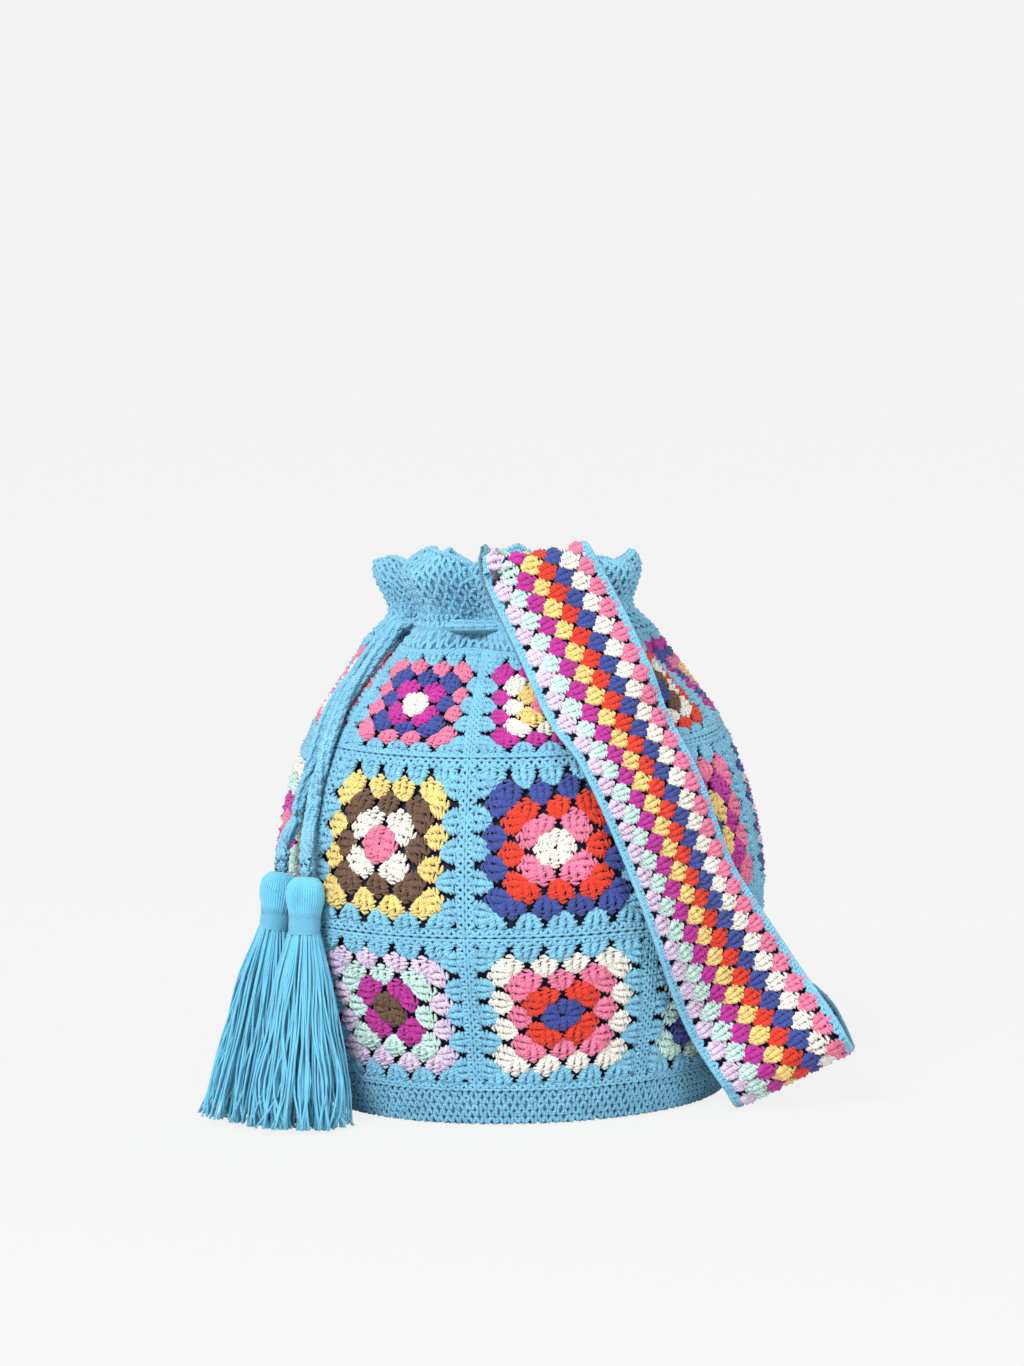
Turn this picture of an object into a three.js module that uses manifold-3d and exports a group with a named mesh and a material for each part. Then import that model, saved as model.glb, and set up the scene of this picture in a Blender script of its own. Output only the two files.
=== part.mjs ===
// A crocheted drawstring bucket bag, standing with its mouth gathered shut. Eight columns
// and three rows of granny squares stand on a dense round base. A gathered collar, a
// drawstring with two tassels, a broad striped strap and a cloth lining complete it.
// Millimetres, +Z up, the front looks towards -Y, and angles run from the front to +X.
import * as THREE from 'three';
import { mergeVertices } from 'three/addons/utils/BufferGeometryUtils.js';
import Module from 'manifold-3d';

const wasm = await Module();
wasm.setup();

// Heights of the body's seams and its radius at each
const baseRadius = 110;
const bandHeight = 20;
const bandFlare = 6;
const lowRowHeight = 87;
const midRowHeight = 95;
const topRowHeight = 53;
const bellyHeight = 118;
const bellyRadius = 133.5;
const shoulderRadius = 113;
const collarSeamRadius = 70;
const waistRise = 13;
const waistRadius = 58;
const collarHeight = 50;
const bulgeDrop = 10;
const bulgeRadius = 70;
const rimRadius = 66;

// The gathers of the collar and the rows below it
const lobeCount = 7;
const lobeTurn = 4;
const gatherDepth = 10.5;
const gatherFade = 1.6;
const rimWave = 6;
const rimFall = 22;
const rimTuck = 0.5;
const pleatAngle = -50;
const pleatWidth = 7;
const pleatDepth = 0.45;

// The fabrics
const columns = 8;
const frontSquareAngle = 9.6;
const squareThickness = 3.2;
const topSquareThickness = 4;
const roundCount = 5;
const ridgeHeight = 1.3;
const grooveDepth = 0.8;
const seamGroove = 1.2;
const seamGap = 0.6;
const bandRows = 4;
const baseThickness = 3.2;
const collarThickness = 3.5;
const liningThickness = 1.2;
const liningInset = 6;
const gap = 0.4;

// The drawstring and its tassels
const cordDiameter = 8;
const cordSides = 8;
const eyeletClearance = 0.6;
const exitAngle = -73.1;
const exitHalfAngle = 10.6;
const tasselTop = 136.2;
const headRadius = 10.5;
const headLength = 21;
const bindingLength = 11.5;
const bindingRadius = 8.7;
const neckRadius = 7.2;
const skirtLength = 100;
const skirtRadius = 33;
const skirtFlutes = 12;
const fluteDepth = 0.8;

// The strap
const strapThickness = 4.5;
const strapWidth = 73;
const strapEndWidth = 56;
const strapRows = 8;
const strapEdge = 4.5;
const strapTurnRadius = 17;
const strapFoldRadius = 4.8;
const strapSteps = 42;

// The small metal stud beside the drawstring's exit
const studRadius = 2.6;
const studHeight = 2;
const studFlange = 0.5;
const studAngle = -87;
const studDrop = 9;

const bandRadius = baseRadius + bandFlare;
const lowSeam = bandHeight;
const midSeam = lowSeam + lowRowHeight;
const shoulder = midSeam + midRowHeight;
const collarSeam = shoulder + topRowHeight;
const waist = collarSeam + waistRise;
const rim = collarSeam + collarHeight;
const cordRadius = cordDiameter / 2;

const yarn = (color) => new THREE.MeshStandardMaterial({ color, roughness: 0.9, metalness: 0 });
const blue = 0x5fb2d8;
const magenta = 0xc82da0;
const red = 0xe93e26;
const navy = 0x3e509e;
const cream = 0xf6f2e8;
const pink = 0xf082a5;
const yellow = 0xfad782;
const mint = 0xcdeee4;
const lilac = 0xe2cde8;
const brown = 0x6b4e3c;

const radians = THREE.MathUtils.degToRad;

// The body's radius where it isn't gathered, a smooth curve through the seams
const profile = [
  [0, baseRadius],
  [bandHeight, bandRadius],
  [bellyHeight, bellyRadius],
  [shoulder, shoulderRadius],
  [collarSeam, collarSeamRadius],
  [waist, waistRadius],
  [rim - bulgeDrop, bulgeRadius],
  [rim + rimWave, rimRadius],
];

function slopeAt(i) {
  const before = profile[Math.max(i - 1, 0)];
  const after = profile[Math.min(i + 1, profile.length - 1)];
  return (after[1] - before[1]) / (after[0] - before[0]);
}

function radiusAt(z) {
  let i = 0;
  while (i < profile.length - 2 && z > profile[i + 1][0]) {
    i += 1;
  }
  const [z0, r0] = profile[i];
  const [z1, r1] = profile[i + 1];
  const span = z1 - z0;
  const t = (z - z0) / span;
  const rise = t * t * (3 - 2 * t);
  const bend = slopeAt(i) * (t - 2 * t * t + t ** 3) + slopeAt(i + 1) * (t ** 3 - t * t);
  return r0 + (r1 - r0) * rise + bend * span;
}

// How deep the gathers are at a height: none below the shoulder, full at the waist, and
// tucked in again towards the rim
function gatherAt(z) {
  const tuck = rimTuck * THREE.MathUtils.smoothstep(z, rim - bulgeDrop, rim + rimWave);
  return gatherDepth * (1 - tuck) * THREE.MathUtils.smoothstep(z, shoulder - 8, waist) ** gatherFade;
}

// The gathers round the body: 1 on a lobe, -1 in a valley, with one lobe pleated in two
function lobeAt(theta) {
  const away = THREE.MathUtils.radToDeg(Math.atan2(
    Math.sin(theta - radians(pleatAngle)), Math.cos(theta - radians(pleatAngle)),
  ));
  const pleat = pleatDepth * Math.exp(-((away / pleatWidth) ** 2));
  return Math.cos(lobeCount * (theta - radians(lobeTurn))) - pleat;
}

// The collar's top edge: it waves with the lobes and sinks towards the back
function rimAt(theta) {
  return rim + rimWave * lobeAt(theta) - rimFall * (1 - Math.cos(theta)) / 2;
}

// A point inset into the fabric from its outer face, level with that face
function bodyPoint(theta, z, inset = 0) {
  const small = 1e-4;
  const radius = radiusAt(z) + gatherAt(z) * lobeAt(theta);
  const slope = gatherAt(z) * (lobeAt(theta + small) - lobeAt(theta - small)) / (2 * small);
  const size = Math.hypot(radius, slope);
  const out = radius - inset * radius / size;
  const along = inset * slope / size;
  return new THREE.Vector3(
    out * Math.sin(theta) + along * Math.cos(theta),
    -out * Math.cos(theta) + along * Math.sin(theta),
    z,
  );
}

// A point lifted off the gathered body, square to its face
function overBody(theta, z, lift) {
  const small = 0.01;
  const across = bodyPoint(theta + small, z).sub(bodyPoint(theta - small, z));
  const up = bodyPoint(theta, z + 1).sub(bodyPoint(theta, z - 1));
  const out = across.cross(up).normalize();
  return bodyPoint(theta, z).addScaledVector(out, lift);
}

// The outermost radius that any lobe reaches at a height
function reachAt(z) {
  return radiusAt(z) + gatherAt(z);
}

// A point off the ungathered body at an angle in degrees
function besideBody(degrees, z, off) {
  const theta = radians(degrees);
  const radius = radiusAt(z) + off;
  return new THREE.Vector3(radius * Math.sin(theta), -radius * Math.cos(theta), z);
}

// A closed skin of triangles that is put together ring by ring
class Skin {
  constructor() {
    this.places = [];
    this.faces = [];
  }

  point(place) {
    this.places.push(place.x, place.y, place.z);
    return this.places.length / 3 - 1;
  }

  triangle(a, b, c) {
    this.faces.push(a, b, c);
  }

  quad(a, b, c, d) {
    this.triangle(a, b, c);
    this.triangle(a, c, d);
  }

  // Joins two closed rings of the same number of points
  wall(low, high) {
    low.forEach((a, i) => {
      const next = (i + 1) % low.length;
      this.quad(a, low[next], high[next], high[i]);
    });
  }

  // Joins an inner square ring to an outer one whose sides may have more points, corner to
  // corner; each ring is a list of sides
  bridge(inner, outer) {
    inner.forEach((side, s) => {
      const near = [...side, inner[(s + 1) % inner.length][0]];
      const far = [...outer[s], outer[(s + 1) % outer.length][0]];
      let i = 0;
      let j = 0;
      while (i < near.length - 1 || j < far.length - 1) {
        const farShare = (j + 0.5) / (far.length - 1);
        const nearShare = (i + 0.5) / (near.length - 1);
        if (j < far.length - 1 && farShare <= nearShare) {
          this.triangle(near[i], far[j], far[j + 1]);
          j += 1;
        } else {
          this.triangle(near[i], far[j], near[i + 1]);
          i += 1;
        }
      }
    });
  }

  fan(centre, ring) {
    ring.forEach((a, i) => this.triangle(centre, a, ring[(i + 1) % ring.length]));
  }

  geometry() {
    const made = new THREE.BufferGeometry();
    made.setAttribute('position', new THREE.Float32BufferAttribute(this.places, 3));
    made.setIndex(this.faces);
    return made;
  }
}

function solidOf(geometry) {
  const bare = geometry.clone();
  bare.deleteAttribute('normal');
  bare.deleteAttribute('uv');
  const merged = mergeVertices(bare, 1e-4);
  return new wasm.Manifold(new wasm.Mesh({
    numProp: 3,
    vertProperties: new Float32Array(merged.attributes.position.array),
    triVerts: new Uint32Array(merged.index.array),
  }));
}

function geometryOf(solid) {
  const mesh = solid.getMesh();
  const made = new THREE.BufferGeometry();
  made.setAttribute('position', new THREE.Float32BufferAttribute(mesh.vertProperties, 3));
  made.setIndex(Array.from(mesh.triVerts));
  return made;
}

const bag = new THREE.Group();

function add(name, geometry, material) {
  geometry.computeVertexNormals();
  const mesh = new THREE.Mesh(geometry, material);
  mesh.name = name;
  bag.add(mesh);
  return mesh;
}

// The four sides of a square whose half side is a share of the whole, each from its first
// corner, with a number of steps along each level and each upright side
function squareSides(share, across, upright) {
  const steps = [across, upright, across, upright];
  const corners = [[-1, -1], [1, -1], [1, 1], [-1, 1]];
  return steps.map((count, side) => {
    const [u0, v0] = corners[side];
    const [u1, v1] = corners[(side + 1) % corners.length];
    return Array.from({ length: count }, (_, i) => [
      share * (u0 + (u1 - u0) * i / count),
      share * (v0 + (v1 - v0) * i / count),
    ]);
  });
}

// One granny square: rounds of clusters make ridges round its centre, the last at its seam
function grannySquare(centreAngle, low, high, across, upright, thickness) {
  const skin = new Skin();
  const middle = (low + high) / 2;
  const halfHeight = (high - low - seamGap) / 2;
  const place = (u, v, inset) => {
    const z = middle + v * halfHeight;
    const halfAngle = Math.PI / columns - seamGap / 2 / radiusAt(z);
    return skin.point(bodyPoint(radians(centreAngle) + u * halfAngle, z, inset));
  };
  const half = 2 * roundCount;
  const centre = place(0, 0, grooveDepth);
  let inner = [];
  for (let i = 1; i <= half; i += 1) {
    const share = i / half;
    const coarse = share < 0.25 ? 1 : 2;
    const steps = share > 0.55 ? [across, upright] : [coarse, coarse];
    const ridge = i % 2 ? -ridgeHeight : grooveDepth;
    const ring = squareSides(share, ...steps).map((side) => (
      side.map(([u, v]) => place(u, v, i === half ? seamGroove : ridge))
    ));
    if (i === 1) {
      skin.fan(centre, ring.flat());
    } else {
      skin.bridge(inner, ring);
    }
    inner = ring;
  }
  const back = [];
  for (let j = 0; j <= upright; j += 1) {
    back.push([]);
    for (let i = 0; i <= across; i += 1) {
      back[j].push(place(-1 + 2 * i / across, -1 + 2 * j / upright, thickness));
    }
  }
  for (let j = 0; j < upright; j += 1) {
    for (let i = 0; i < across; i += 1) {
      skin.quad(back[j][i], back[j + 1][i], back[j + 1][i + 1], back[j][i + 1]);
    }
  }
  const edge = [
    ...back[0].slice(0, across),
    ...back.slice(0, upright).map((row) => row[across]),
    ...back[upright].slice(1).reverse(),
    ...back.slice(1).map((row) => row[0]).reverse(),
  ];
  skin.wall(edge, inner.flat());
  return skin.geometry();
}

// The main colour of each square, from the front one round to the right
const lowColours = [pink, red, navy, cream, lilac, mint, yellow, magenta];
const midColours = [red, magenta, mint, brown, pink, navy, lilac, brown];
const topColours = [yellow, cream, lilac, red, mint, pink, brown, navy];
const squareRows = [
  ['low', lowSeam, midSeam, 3, 3, squareThickness, lowColours],
  ['mid', midSeam, shoulder, 3, 3, squareThickness, midColours],
  ['top', shoulder, collarSeam, 6, 3, topSquareThickness, topColours],
];
for (const [row, low, high, across, upright, thickness, colours] of squareRows) {
  colours.forEach((colour, column) => {
    const angle = frontSquareAngle + 360 / columns * column;
    add(
      `granny_square_${row}_${column + 1}`,
      grannySquare(angle, low, high, across, upright, thickness),
      yarn(colour),
    );
  });
}

// The base: a flat crocheted disc whose last rows turn up into a low ribbed band
function baseGeometry() {
  const outline = [new THREE.Vector2(0, 0), new THREE.Vector2(baseRadius - 5, 0)];
  const foot = 1.5;
  for (let i = 0; i <= 2 * bandRows; i += 1) {
    const z = foot + (bandHeight - gap / 2 - foot) * i / (2 * bandRows);
    outline.push(new THREE.Vector2(radiusAt(z) + (i % 2 ? 0.5 : -0.6), z));
  }
  for (let i = 2; i >= 0; i -= 1) {
    const z = baseThickness * 2 + (bandHeight - gap / 2 - baseThickness * 2) * i / 2;
    outline.push(new THREE.Vector2(radiusAt(z) - baseThickness - 0.6, z));
  }
  outline.push(new THREE.Vector2(baseRadius - 5 - baseThickness, baseThickness));
  outline.push(new THREE.Vector2(0, baseThickness));
  return new THREE.LatheGeometry(outline, 36);
}
const base = baseGeometry().rotateX(Math.PI / 2);
add('base', geometryOf(solidOf(base)), yarn(blue));

// The lining: a plain cloth pouch inside, sewn up to the collar's seam
function liningGeometry() {
  const top = collarSeam - gap;
  const floor = baseThickness + gap;
  const heights = [0, 0.22, 0.45, 0.66, 0.84, 1].map((t) => floor + 4 + (top - floor - 4) * t);
  const inside = (z) => radiusAt(z) - gatherAt(z) - liningInset;
  const outline = [new THREE.Vector2(0, floor), new THREE.Vector2(inside(floor) - 4, floor)];
  heights.forEach((z) => outline.push(new THREE.Vector2(inside(z), z)));
  heights.reverse().forEach((z) => outline.push(new THREE.Vector2(inside(z) - liningThickness, z)));
  const bottom = floor + liningThickness;
  outline.push(new THREE.Vector2(inside(floor) - 4 - liningThickness, bottom));
  outline.push(new THREE.Vector2(0, bottom));
  return new THREE.LatheGeometry(outline, 28);
}
add('lining', geometryOf(solidOf(liningGeometry().rotateX(Math.PI / 2))), yarn(0x232a45));

// The drawstring's loop round the collar's waist, between its two ends in one valley
const loopRadius = radiusAt(waist - 2);
const loopHeight = waist - 2;

function tube(points, radius, steps) {
  const section = new THREE.Shape();
  for (let i = 0; i < cordSides; i += 1) {
    const angle = 2 * Math.PI * (i + 0.5) / cordSides;
    const corner = [radius * Math.cos(angle), radius * Math.sin(angle)];
    if (i) {
      section.lineTo(...corner);
    } else {
      section.moveTo(...corner);
    }
  }
  const path = new THREE.CatmullRomCurve3(points, false, 'centripetal');
  return new THREE.ExtrudeGeometry(section, { steps, extrudePath: path, bevelEnabled: false });
}

function loopPoint(degrees) {
  const angle = radians(degrees);
  return new THREE.Vector3(
    loopRadius * Math.sin(angle), -loopRadius * Math.cos(angle), loopHeight,
  );
}
const loopPoints = [];
const loopSpan = 360 - 2 * exitHalfAngle;
for (let i = 0; i <= 36; i += 1) {
  loopPoints.push(loopPoint(exitAngle + exitHalfAngle + loopSpan * i / 36));
}
add('drawstring_loop', tube(loopPoints, cordRadius, 32), yarn(blue));

// Where each tassel hangs from its cord, and where the middle of its skirt stands
const tassels = [
  { name: 'front', top: besideBody(-53.5, tasselTop, 12), foot: besideBody(-50.7, 0, 50.2) },
  { name: 'back', top: besideBody(-62.6, tasselTop, 13.8), foot: besideBody(-63, 0, 57.2) },
];

// The drawstring's two tails: out of their eyelets, down the valley, over the shoulder
const tailLift = cordRadius + ridgeHeight + gap;
const tailRoutes = {
  front: { side: 1, route: [[-66.4, 8, 3], [-66.6, 17, 2], [-66.2, 29, 1.2], [-63.6, 42, 0.8],
    [-60.4, 56, 0.5], [-59.4, 72, 0.4], [-58.6, 90, 0.4], [-57.4, 106, 1]] },
  back: { side: -1, route: [[-80, 8, 3], [-79.4, 17, 2], [-76.4, 29, 1.2], [-71, 42, 0.8],
    [-66.6, 56, 0.5], [-64.9, 72, 0.4], [-64.6, 90, 0.4], [-64.9, 106, 1]] },
};

function tailPoints(tassel) {
  const { side, route } = tailRoutes[tassel.name];
  const end = exitAngle + side * exitHalfAngle;
  const dip = loopPoint(end - side * 5.4).multiplyScalar(1 + 2 / loopRadius);
  const axis = tassel.top.clone().sub(tassel.foot).normalize();
  return [
    loopPoint(end - side * 1.1),
    loopPoint(end - side * 2.6),
    dip.setZ(loopHeight - 2.4),
    ...route.map(([degrees, drop, more]) => overBody(radians(degrees), loopHeight - drop, tailLift + more)),
    tassel.top.clone().addScaledVector(axis, 2 * cordDiameter),
    tassel.top.clone().addScaledVector(axis, gap),
  ];
}
tassels.forEach((tassel) => {
  add(`drawstring_tail_${tassel.name}`, tube(tailPoints(tassel), cordRadius, 20), yarn(blue));
});

// The collar: a gathered ring of dense crochet with an eyelet wherever the cord passes
function collarGeometry() {
  const skin = new Skin();
  const around = 8 * lobeCount;
  const levels = [0, 0.25, 0.5, 0.75, 1];
  const section = [
    ...levels.map((level) => [level, 0]),
    [1.03, collarThickness / 2],
    ...levels.map((level) => [1 - level, collarThickness]),
  ];
  const rings = section.map(([level, inset]) => {
    const ring = [];
    for (let i = 0; i < around; i += 1) {
      const theta = 2 * Math.PI * i / around;
      const foot = collarSeam + gap / 2;
      const top = rimAt(theta);
      ring.push(skin.point(bodyPoint(theta, foot + (top - foot) * level, inset)));
    }
    return ring;
  });
  rings.forEach((ring, i) => skin.wall(ring, rings[(i + 1) % rings.length]));
  return skin.geometry();
}
const eyelets = [loopPoints, ...tassels.map(tailPoints)].map((points, i) => (
  solidOf(tube(points, cordRadius + eyeletClearance, i ? 20 : 32))
));
const collar = eyelets.reduce((solid, eyelet) => solid.subtract(eyelet), solidOf(collarGeometry()));
add('collar', geometryOf(collar), yarn(blue));

// Each tassel: a wound head over a bound neck and a skirt of strands down to the floor

function turned(outline, flutes, depthAt) {
  const skin = new Skin();
  const around = flutes * 2;
  const rings = outline.slice(1, -1).map(([radius, z]) => {
    const ring = [];
    for (let i = 0; i < around; i += 1) {
      const angle = 2 * Math.PI * i / around;
      const reach = radius - (i % 2 ? depthAt(z) : 0);
      ring.push(skin.point(new THREE.Vector3(reach * Math.cos(angle), reach * Math.sin(angle), z)));
    }
    return ring;
  });
  const bottom = skin.point(new THREE.Vector3(0, 0, outline[0][1]));
  const top = skin.point(new THREE.Vector3(0, 0, outline[outline.length - 1][1]));
  skin.fan(bottom, [...rings[0]].reverse());
  rings.slice(1).forEach((ring, i) => skin.wall(rings[i], ring));
  skin.fan(top, rings[rings.length - 1]);
  return skin.geometry();
}

// Turns a shape that hangs from the origin down -Z to hang from one point towards another
function hang(geometry, from, towards) {
  const down = towards.clone().sub(from).normalize();
  const turn = new THREE.Quaternion().setFromUnitVectors(new THREE.Vector3(0, 0, -1), down);
  return geometry.clone().applyQuaternion(turn).translate(from.x, from.y, from.z);
}

const neckLow = -headLength - bindingLength;
const skirtFoot = neckLow - skirtLength - 12;
const tasselOutline = [
  [0, skirtFoot],
  [skirtRadius, skirtFoot],
  [skirtRadius * 0.86, neckLow - skirtLength * 0.78],
  [skirtRadius * 0.62, neckLow - skirtLength * 0.46],
  [skirtRadius * 0.4, neckLow - skirtLength * 0.16],
  [neckRadius + 1.2, neckLow - 1.5],
  [neckRadius, neckLow - 0.4],
  [neckRadius, -headLength + 0.6],
  [headRadius * 0.86, -headLength + 2.5],
  [headRadius, -headLength * 0.62],
  [headRadius * 0.94, -headLength * 0.25],
  [headRadius * 0.62, -1.5],
  [0, 0],
];
const bindingOutline = [
  [neckRadius + gap, neckLow],
  [bindingRadius - 0.5, neckLow],
  [bindingRadius, neckLow + 2],
  [bindingRadius, -headLength - 2],
  [bindingRadius - 0.5, -headLength],
  [neckRadius + gap, -headLength],
  [neckRadius + gap, neckLow],
].map((corner) => new THREE.Vector2(...corner));

// The two skirts press together on the plane half way between them, and end on the floor
function skirtCut(own, other) {
  const away = new THREE.Vector3().subVectors(own.foot, other.foot).setZ(0).normalize();
  const middle = new THREE.Vector3().addVectors(own.foot, other.foot).multiplyScalar(0.5);
  const size = 4 * skirtLength;
  const block = new THREE.BoxGeometry(size, size, size);
  block.translate(size / 2 + gap / 2, 0, size / 2 + gap / 2);
  block.rotateZ(Math.atan2(away.y, away.x));
  block.translate(middle.x, middle.y, 0);
  return solidOf(block);
}
tassels.forEach((own, i) => {
  const shape = turned(tasselOutline, skirtFlutes, (z) => (z < neckLow - 2 ? fluteDepth : 0));
  const hung = solidOf(hang(shape, own.top, own.foot)).intersect(skirtCut(own, tassels[1 - i]));
  add(`tassel_${own.name}`, geometryOf(hung), yarn(blue));
  const binding = new THREE.LatheGeometry(bindingOutline, 16).rotateX(Math.PI / 2);
  const ring = hang(geometryOf(solidOf(binding)), own.top, own.foot);
  add(`tassel_${own.name}_binding`, ring, yarn(blue));
});

// The strap: sewn to the collar's front, up and folded over, down across the front to a
// turn at the floor, then round behind the body and up to the collar's back
const strapLift = strapThickness / 2 + ridgeHeight + gap;
const towards = (x, y, z) => new THREE.Vector3(x, y, z).normalize();

// A stretch of strap that lies flat on the body at an angle and a height
function strapOnBody(degrees, z, lift) {
  const theta = radians(degrees);
  const fall = (reachAt(z + 1) - reachAt(z - 1)) / 2;
  const face = towards(Math.sin(theta), -Math.cos(theta), -fall);
  const radius = reachAt(z);
  const place = new THREE.Vector3(radius * Math.sin(theta), -radius * Math.cos(theta), z);
  return { place: place.addScaledVector(face, strapLift + lift), face };
}

// The fold over the collar's front, and the turn at the floor, at an angle round each
const frontPlane = -(reachAt(rim - bulgeDrop / 2) + strapThickness / 2 + gap);
const outerPlane = frontPlane - 2 * strapFoldRadius;
const foldHeight = rim + rimWave - strapFoldRadius - 2;
const turnCentre = besideBody(61.4, strapWidth * 0.44, 41.2);
const turnDown = towards(0.43, 0.06, -0.9);
const turnSide = towards(0, 1, 0.06);

function strapTurn(degrees) {
  const angle = radians(degrees);
  const face = turnSide.clone().multiplyScalar(-Math.cos(angle));
  face.addScaledVector(turnDown, Math.sin(angle));
  return { place: turnCentre.clone().addScaledVector(face, strapTurnRadius), face };
}

function strapFold(degrees) {
  const angle = radians(degrees);
  const x = 10 + degrees / 45;
  const y = frontPlane - strapFoldRadius + strapFoldRadius * Math.cos(angle);
  const z = foldHeight + strapFoldRadius * Math.sin(angle);
  return { place: new THREE.Vector3(x, y, z), face: towards(-0.1, Math.cos(angle), Math.sin(angle)) };
}

function strapAt(place, face) {
  return { place, face };
}

const point = (x, y, z) => new THREE.Vector3(x, y, z);
const strapRoute = [
  strapAt(point(30, frontPlane - 3.2, collarSeam + 3), towards(0, 1, -0.05)),
  strapAt(point(21, frontPlane, collarSeam + 25), towards(0, 1, 0)),
  ...[0, 45, 90, 135, 180].map(strapFold),
  strapAt(point(31, outerPlane - 2, waist), towards(0.08, -1, 0.02)),
  strapAt(point(45, outerPlane - 8.3, shoulder + 34), towards(0.22, -1, 0.2)),
  strapOnBody(29, shoulder + 6, 5),
  strapOnBody(34.5, midSeam + 68, 3),
  strapOnBody(42.5, midSeam + 10, 3.5),
  strapAt(besideBody(53.4, 62, 24.4), towards(0.3, -1, 0)),
  ...[0, 45, 90, 135, 180].map(strapTurn),
  strapAt(besideBody(71.9, 42, 23.4), towards(0.66, 0.72, 0.1)),
  strapAt(besideBody(84.2, 47, 16.9), towards(0.97, 0.2, 0.1)),
  strapOnBody(98, 52, 4),
  strapOnBody(122, 66, 3),
  strapOnBody(145, 104, 1.5),
  strapOnBody(160, 150, 2),
  strapOnBody(172, shoulder, 3),
  strapAt(point(4, reachAt(collarSeam - 6) + strapLift + 2, collarSeam - 6), towards(0, 1, 0.2)),
  strapAt(point(0, reachAt(rim) + strapLift + 1, rim - rimFall - 11), towards(0, 1, 0)),
];

// The strap's face changes its side at the first fold, so its facing is turned to suit
function strapGeometry() {
  const places = strapRoute.map((station) => station.place);
  const faces = strapRoute.map((station) => station.face);
  const path = new THREE.CatmullRomCurve3(places, false, 'centripetal');
  const facing = new THREE.CatmullRomCurve3(faces, false, 'catmullrom');
  const skin = new Skin();
  const rings = [];
  for (let i = 0; i <= strapSteps; i += 1) {
    const t = i / strapSteps;
    const along = path.getTangent(t);
    const face = facing.getPoint(t);
    face.addScaledVector(along, -face.dot(along)).normalize();
    const side = new THREE.Vector3().crossVectors(face, along);
    const widen = THREE.MathUtils.smoothstep(t, 0.1, 0.5) * THREE.MathUtils.smoothstep(1 - t, 0.05, 0.3);
    const width = strapEndWidth + (strapWidth - strapEndWidth) * widen;
    const section = [];
    const rowWidth = (width - 2 * strapEdge) / strapRows;
    const outer = strapThickness / 2;
    section.push([-width / 2, 0], [-width / 2 + strapEdge, outer * 0.6]);
    for (let row = 0; row < strapRows; row += 1) {
      const left = -width / 2 + strapEdge + row * rowWidth;
      section.push([left + rowWidth / 2, outer], [left + rowWidth, outer * 0.6]);
    }
    section.push([width / 2, 0], [width / 2 - strapEdge, -outer], [-width / 2 + strapEdge, -outer]);
    rings.push(section.map(([across, out]) => skin.point(
      path.getPoint(t).addScaledVector(side, across).addScaledVector(face, out),
    )));
  }
  for (let i = 0; i < strapSteps; i += 1) {
    skin.wall(rings[i + 1], rings[i]);
  }
  const first = rings[0];
  const last = rings[strapSteps];
  for (let i = 1; i < first.length - 1; i += 1) {
    skin.triangle(first[0], first[i], first[i + 1]);
    skin.triangle(last[0], last[i + 1], last[i]);
  }
  return skin.geometry();
}
add('strap', strapGeometry(), yarn(magenta));

// The stud: a small domed rivet head on the side of the lobe beside the exit
function studGeometry() {
  const outline = [
    [0, 0],
    [studRadius, 0],
    [studRadius, studFlange],
    [studRadius * 0.72, studHeight * 0.8],
    [0, studHeight],
  ].map((corner) => new THREE.Vector2(...corner));
  const stud = geometryOf(solidOf(new THREE.LatheGeometry(outline, 12).rotateX(Math.PI / 2)));
  const angle = radians(studAngle);
  const height = collarSeam - studDrop;
  const foot = overBody(angle, height, ridgeHeight + gap);
  const out = overBody(angle, height, ridgeHeight + 10).sub(foot).normalize();
  const turn = new THREE.Quaternion().setFromUnitVectors(new THREE.Vector3(0, 0, 1), out);
  return stud.applyQuaternion(turn).translate(foot.x, foot.y, foot.z);
}
const metal = new THREE.MeshStandardMaterial({ color: 0xc9ccd0, roughness: 0.25, metalness: 1 });
add('stud', studGeometry(), metal);

export default bag;
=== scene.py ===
"""The looks of a crocheted drawstring bucket bag: every stitch, strand and thread as geometry.

Lengths in the shape functions are millimetres, in the same frame as the CAD model, and turn
into metres where a piece is made. Angles run from the front (-Y) round to the right (+X).
"""
import math
import bpy
import numpy as np
from mathutils import Matrix


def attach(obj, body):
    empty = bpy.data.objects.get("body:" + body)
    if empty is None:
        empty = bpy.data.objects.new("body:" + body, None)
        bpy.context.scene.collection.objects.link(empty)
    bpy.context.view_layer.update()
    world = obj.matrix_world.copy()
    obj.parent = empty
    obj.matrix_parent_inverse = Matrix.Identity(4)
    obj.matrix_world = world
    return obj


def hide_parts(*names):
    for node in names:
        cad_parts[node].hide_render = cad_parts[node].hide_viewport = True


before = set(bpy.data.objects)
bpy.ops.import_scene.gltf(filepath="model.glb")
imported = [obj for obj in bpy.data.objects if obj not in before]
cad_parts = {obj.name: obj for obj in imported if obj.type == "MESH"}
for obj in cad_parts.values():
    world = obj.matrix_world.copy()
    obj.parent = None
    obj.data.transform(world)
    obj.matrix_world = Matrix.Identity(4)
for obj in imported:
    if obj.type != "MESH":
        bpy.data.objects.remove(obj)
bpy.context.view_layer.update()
MM = 0.001
rng = np.random.default_rng(7)

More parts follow.
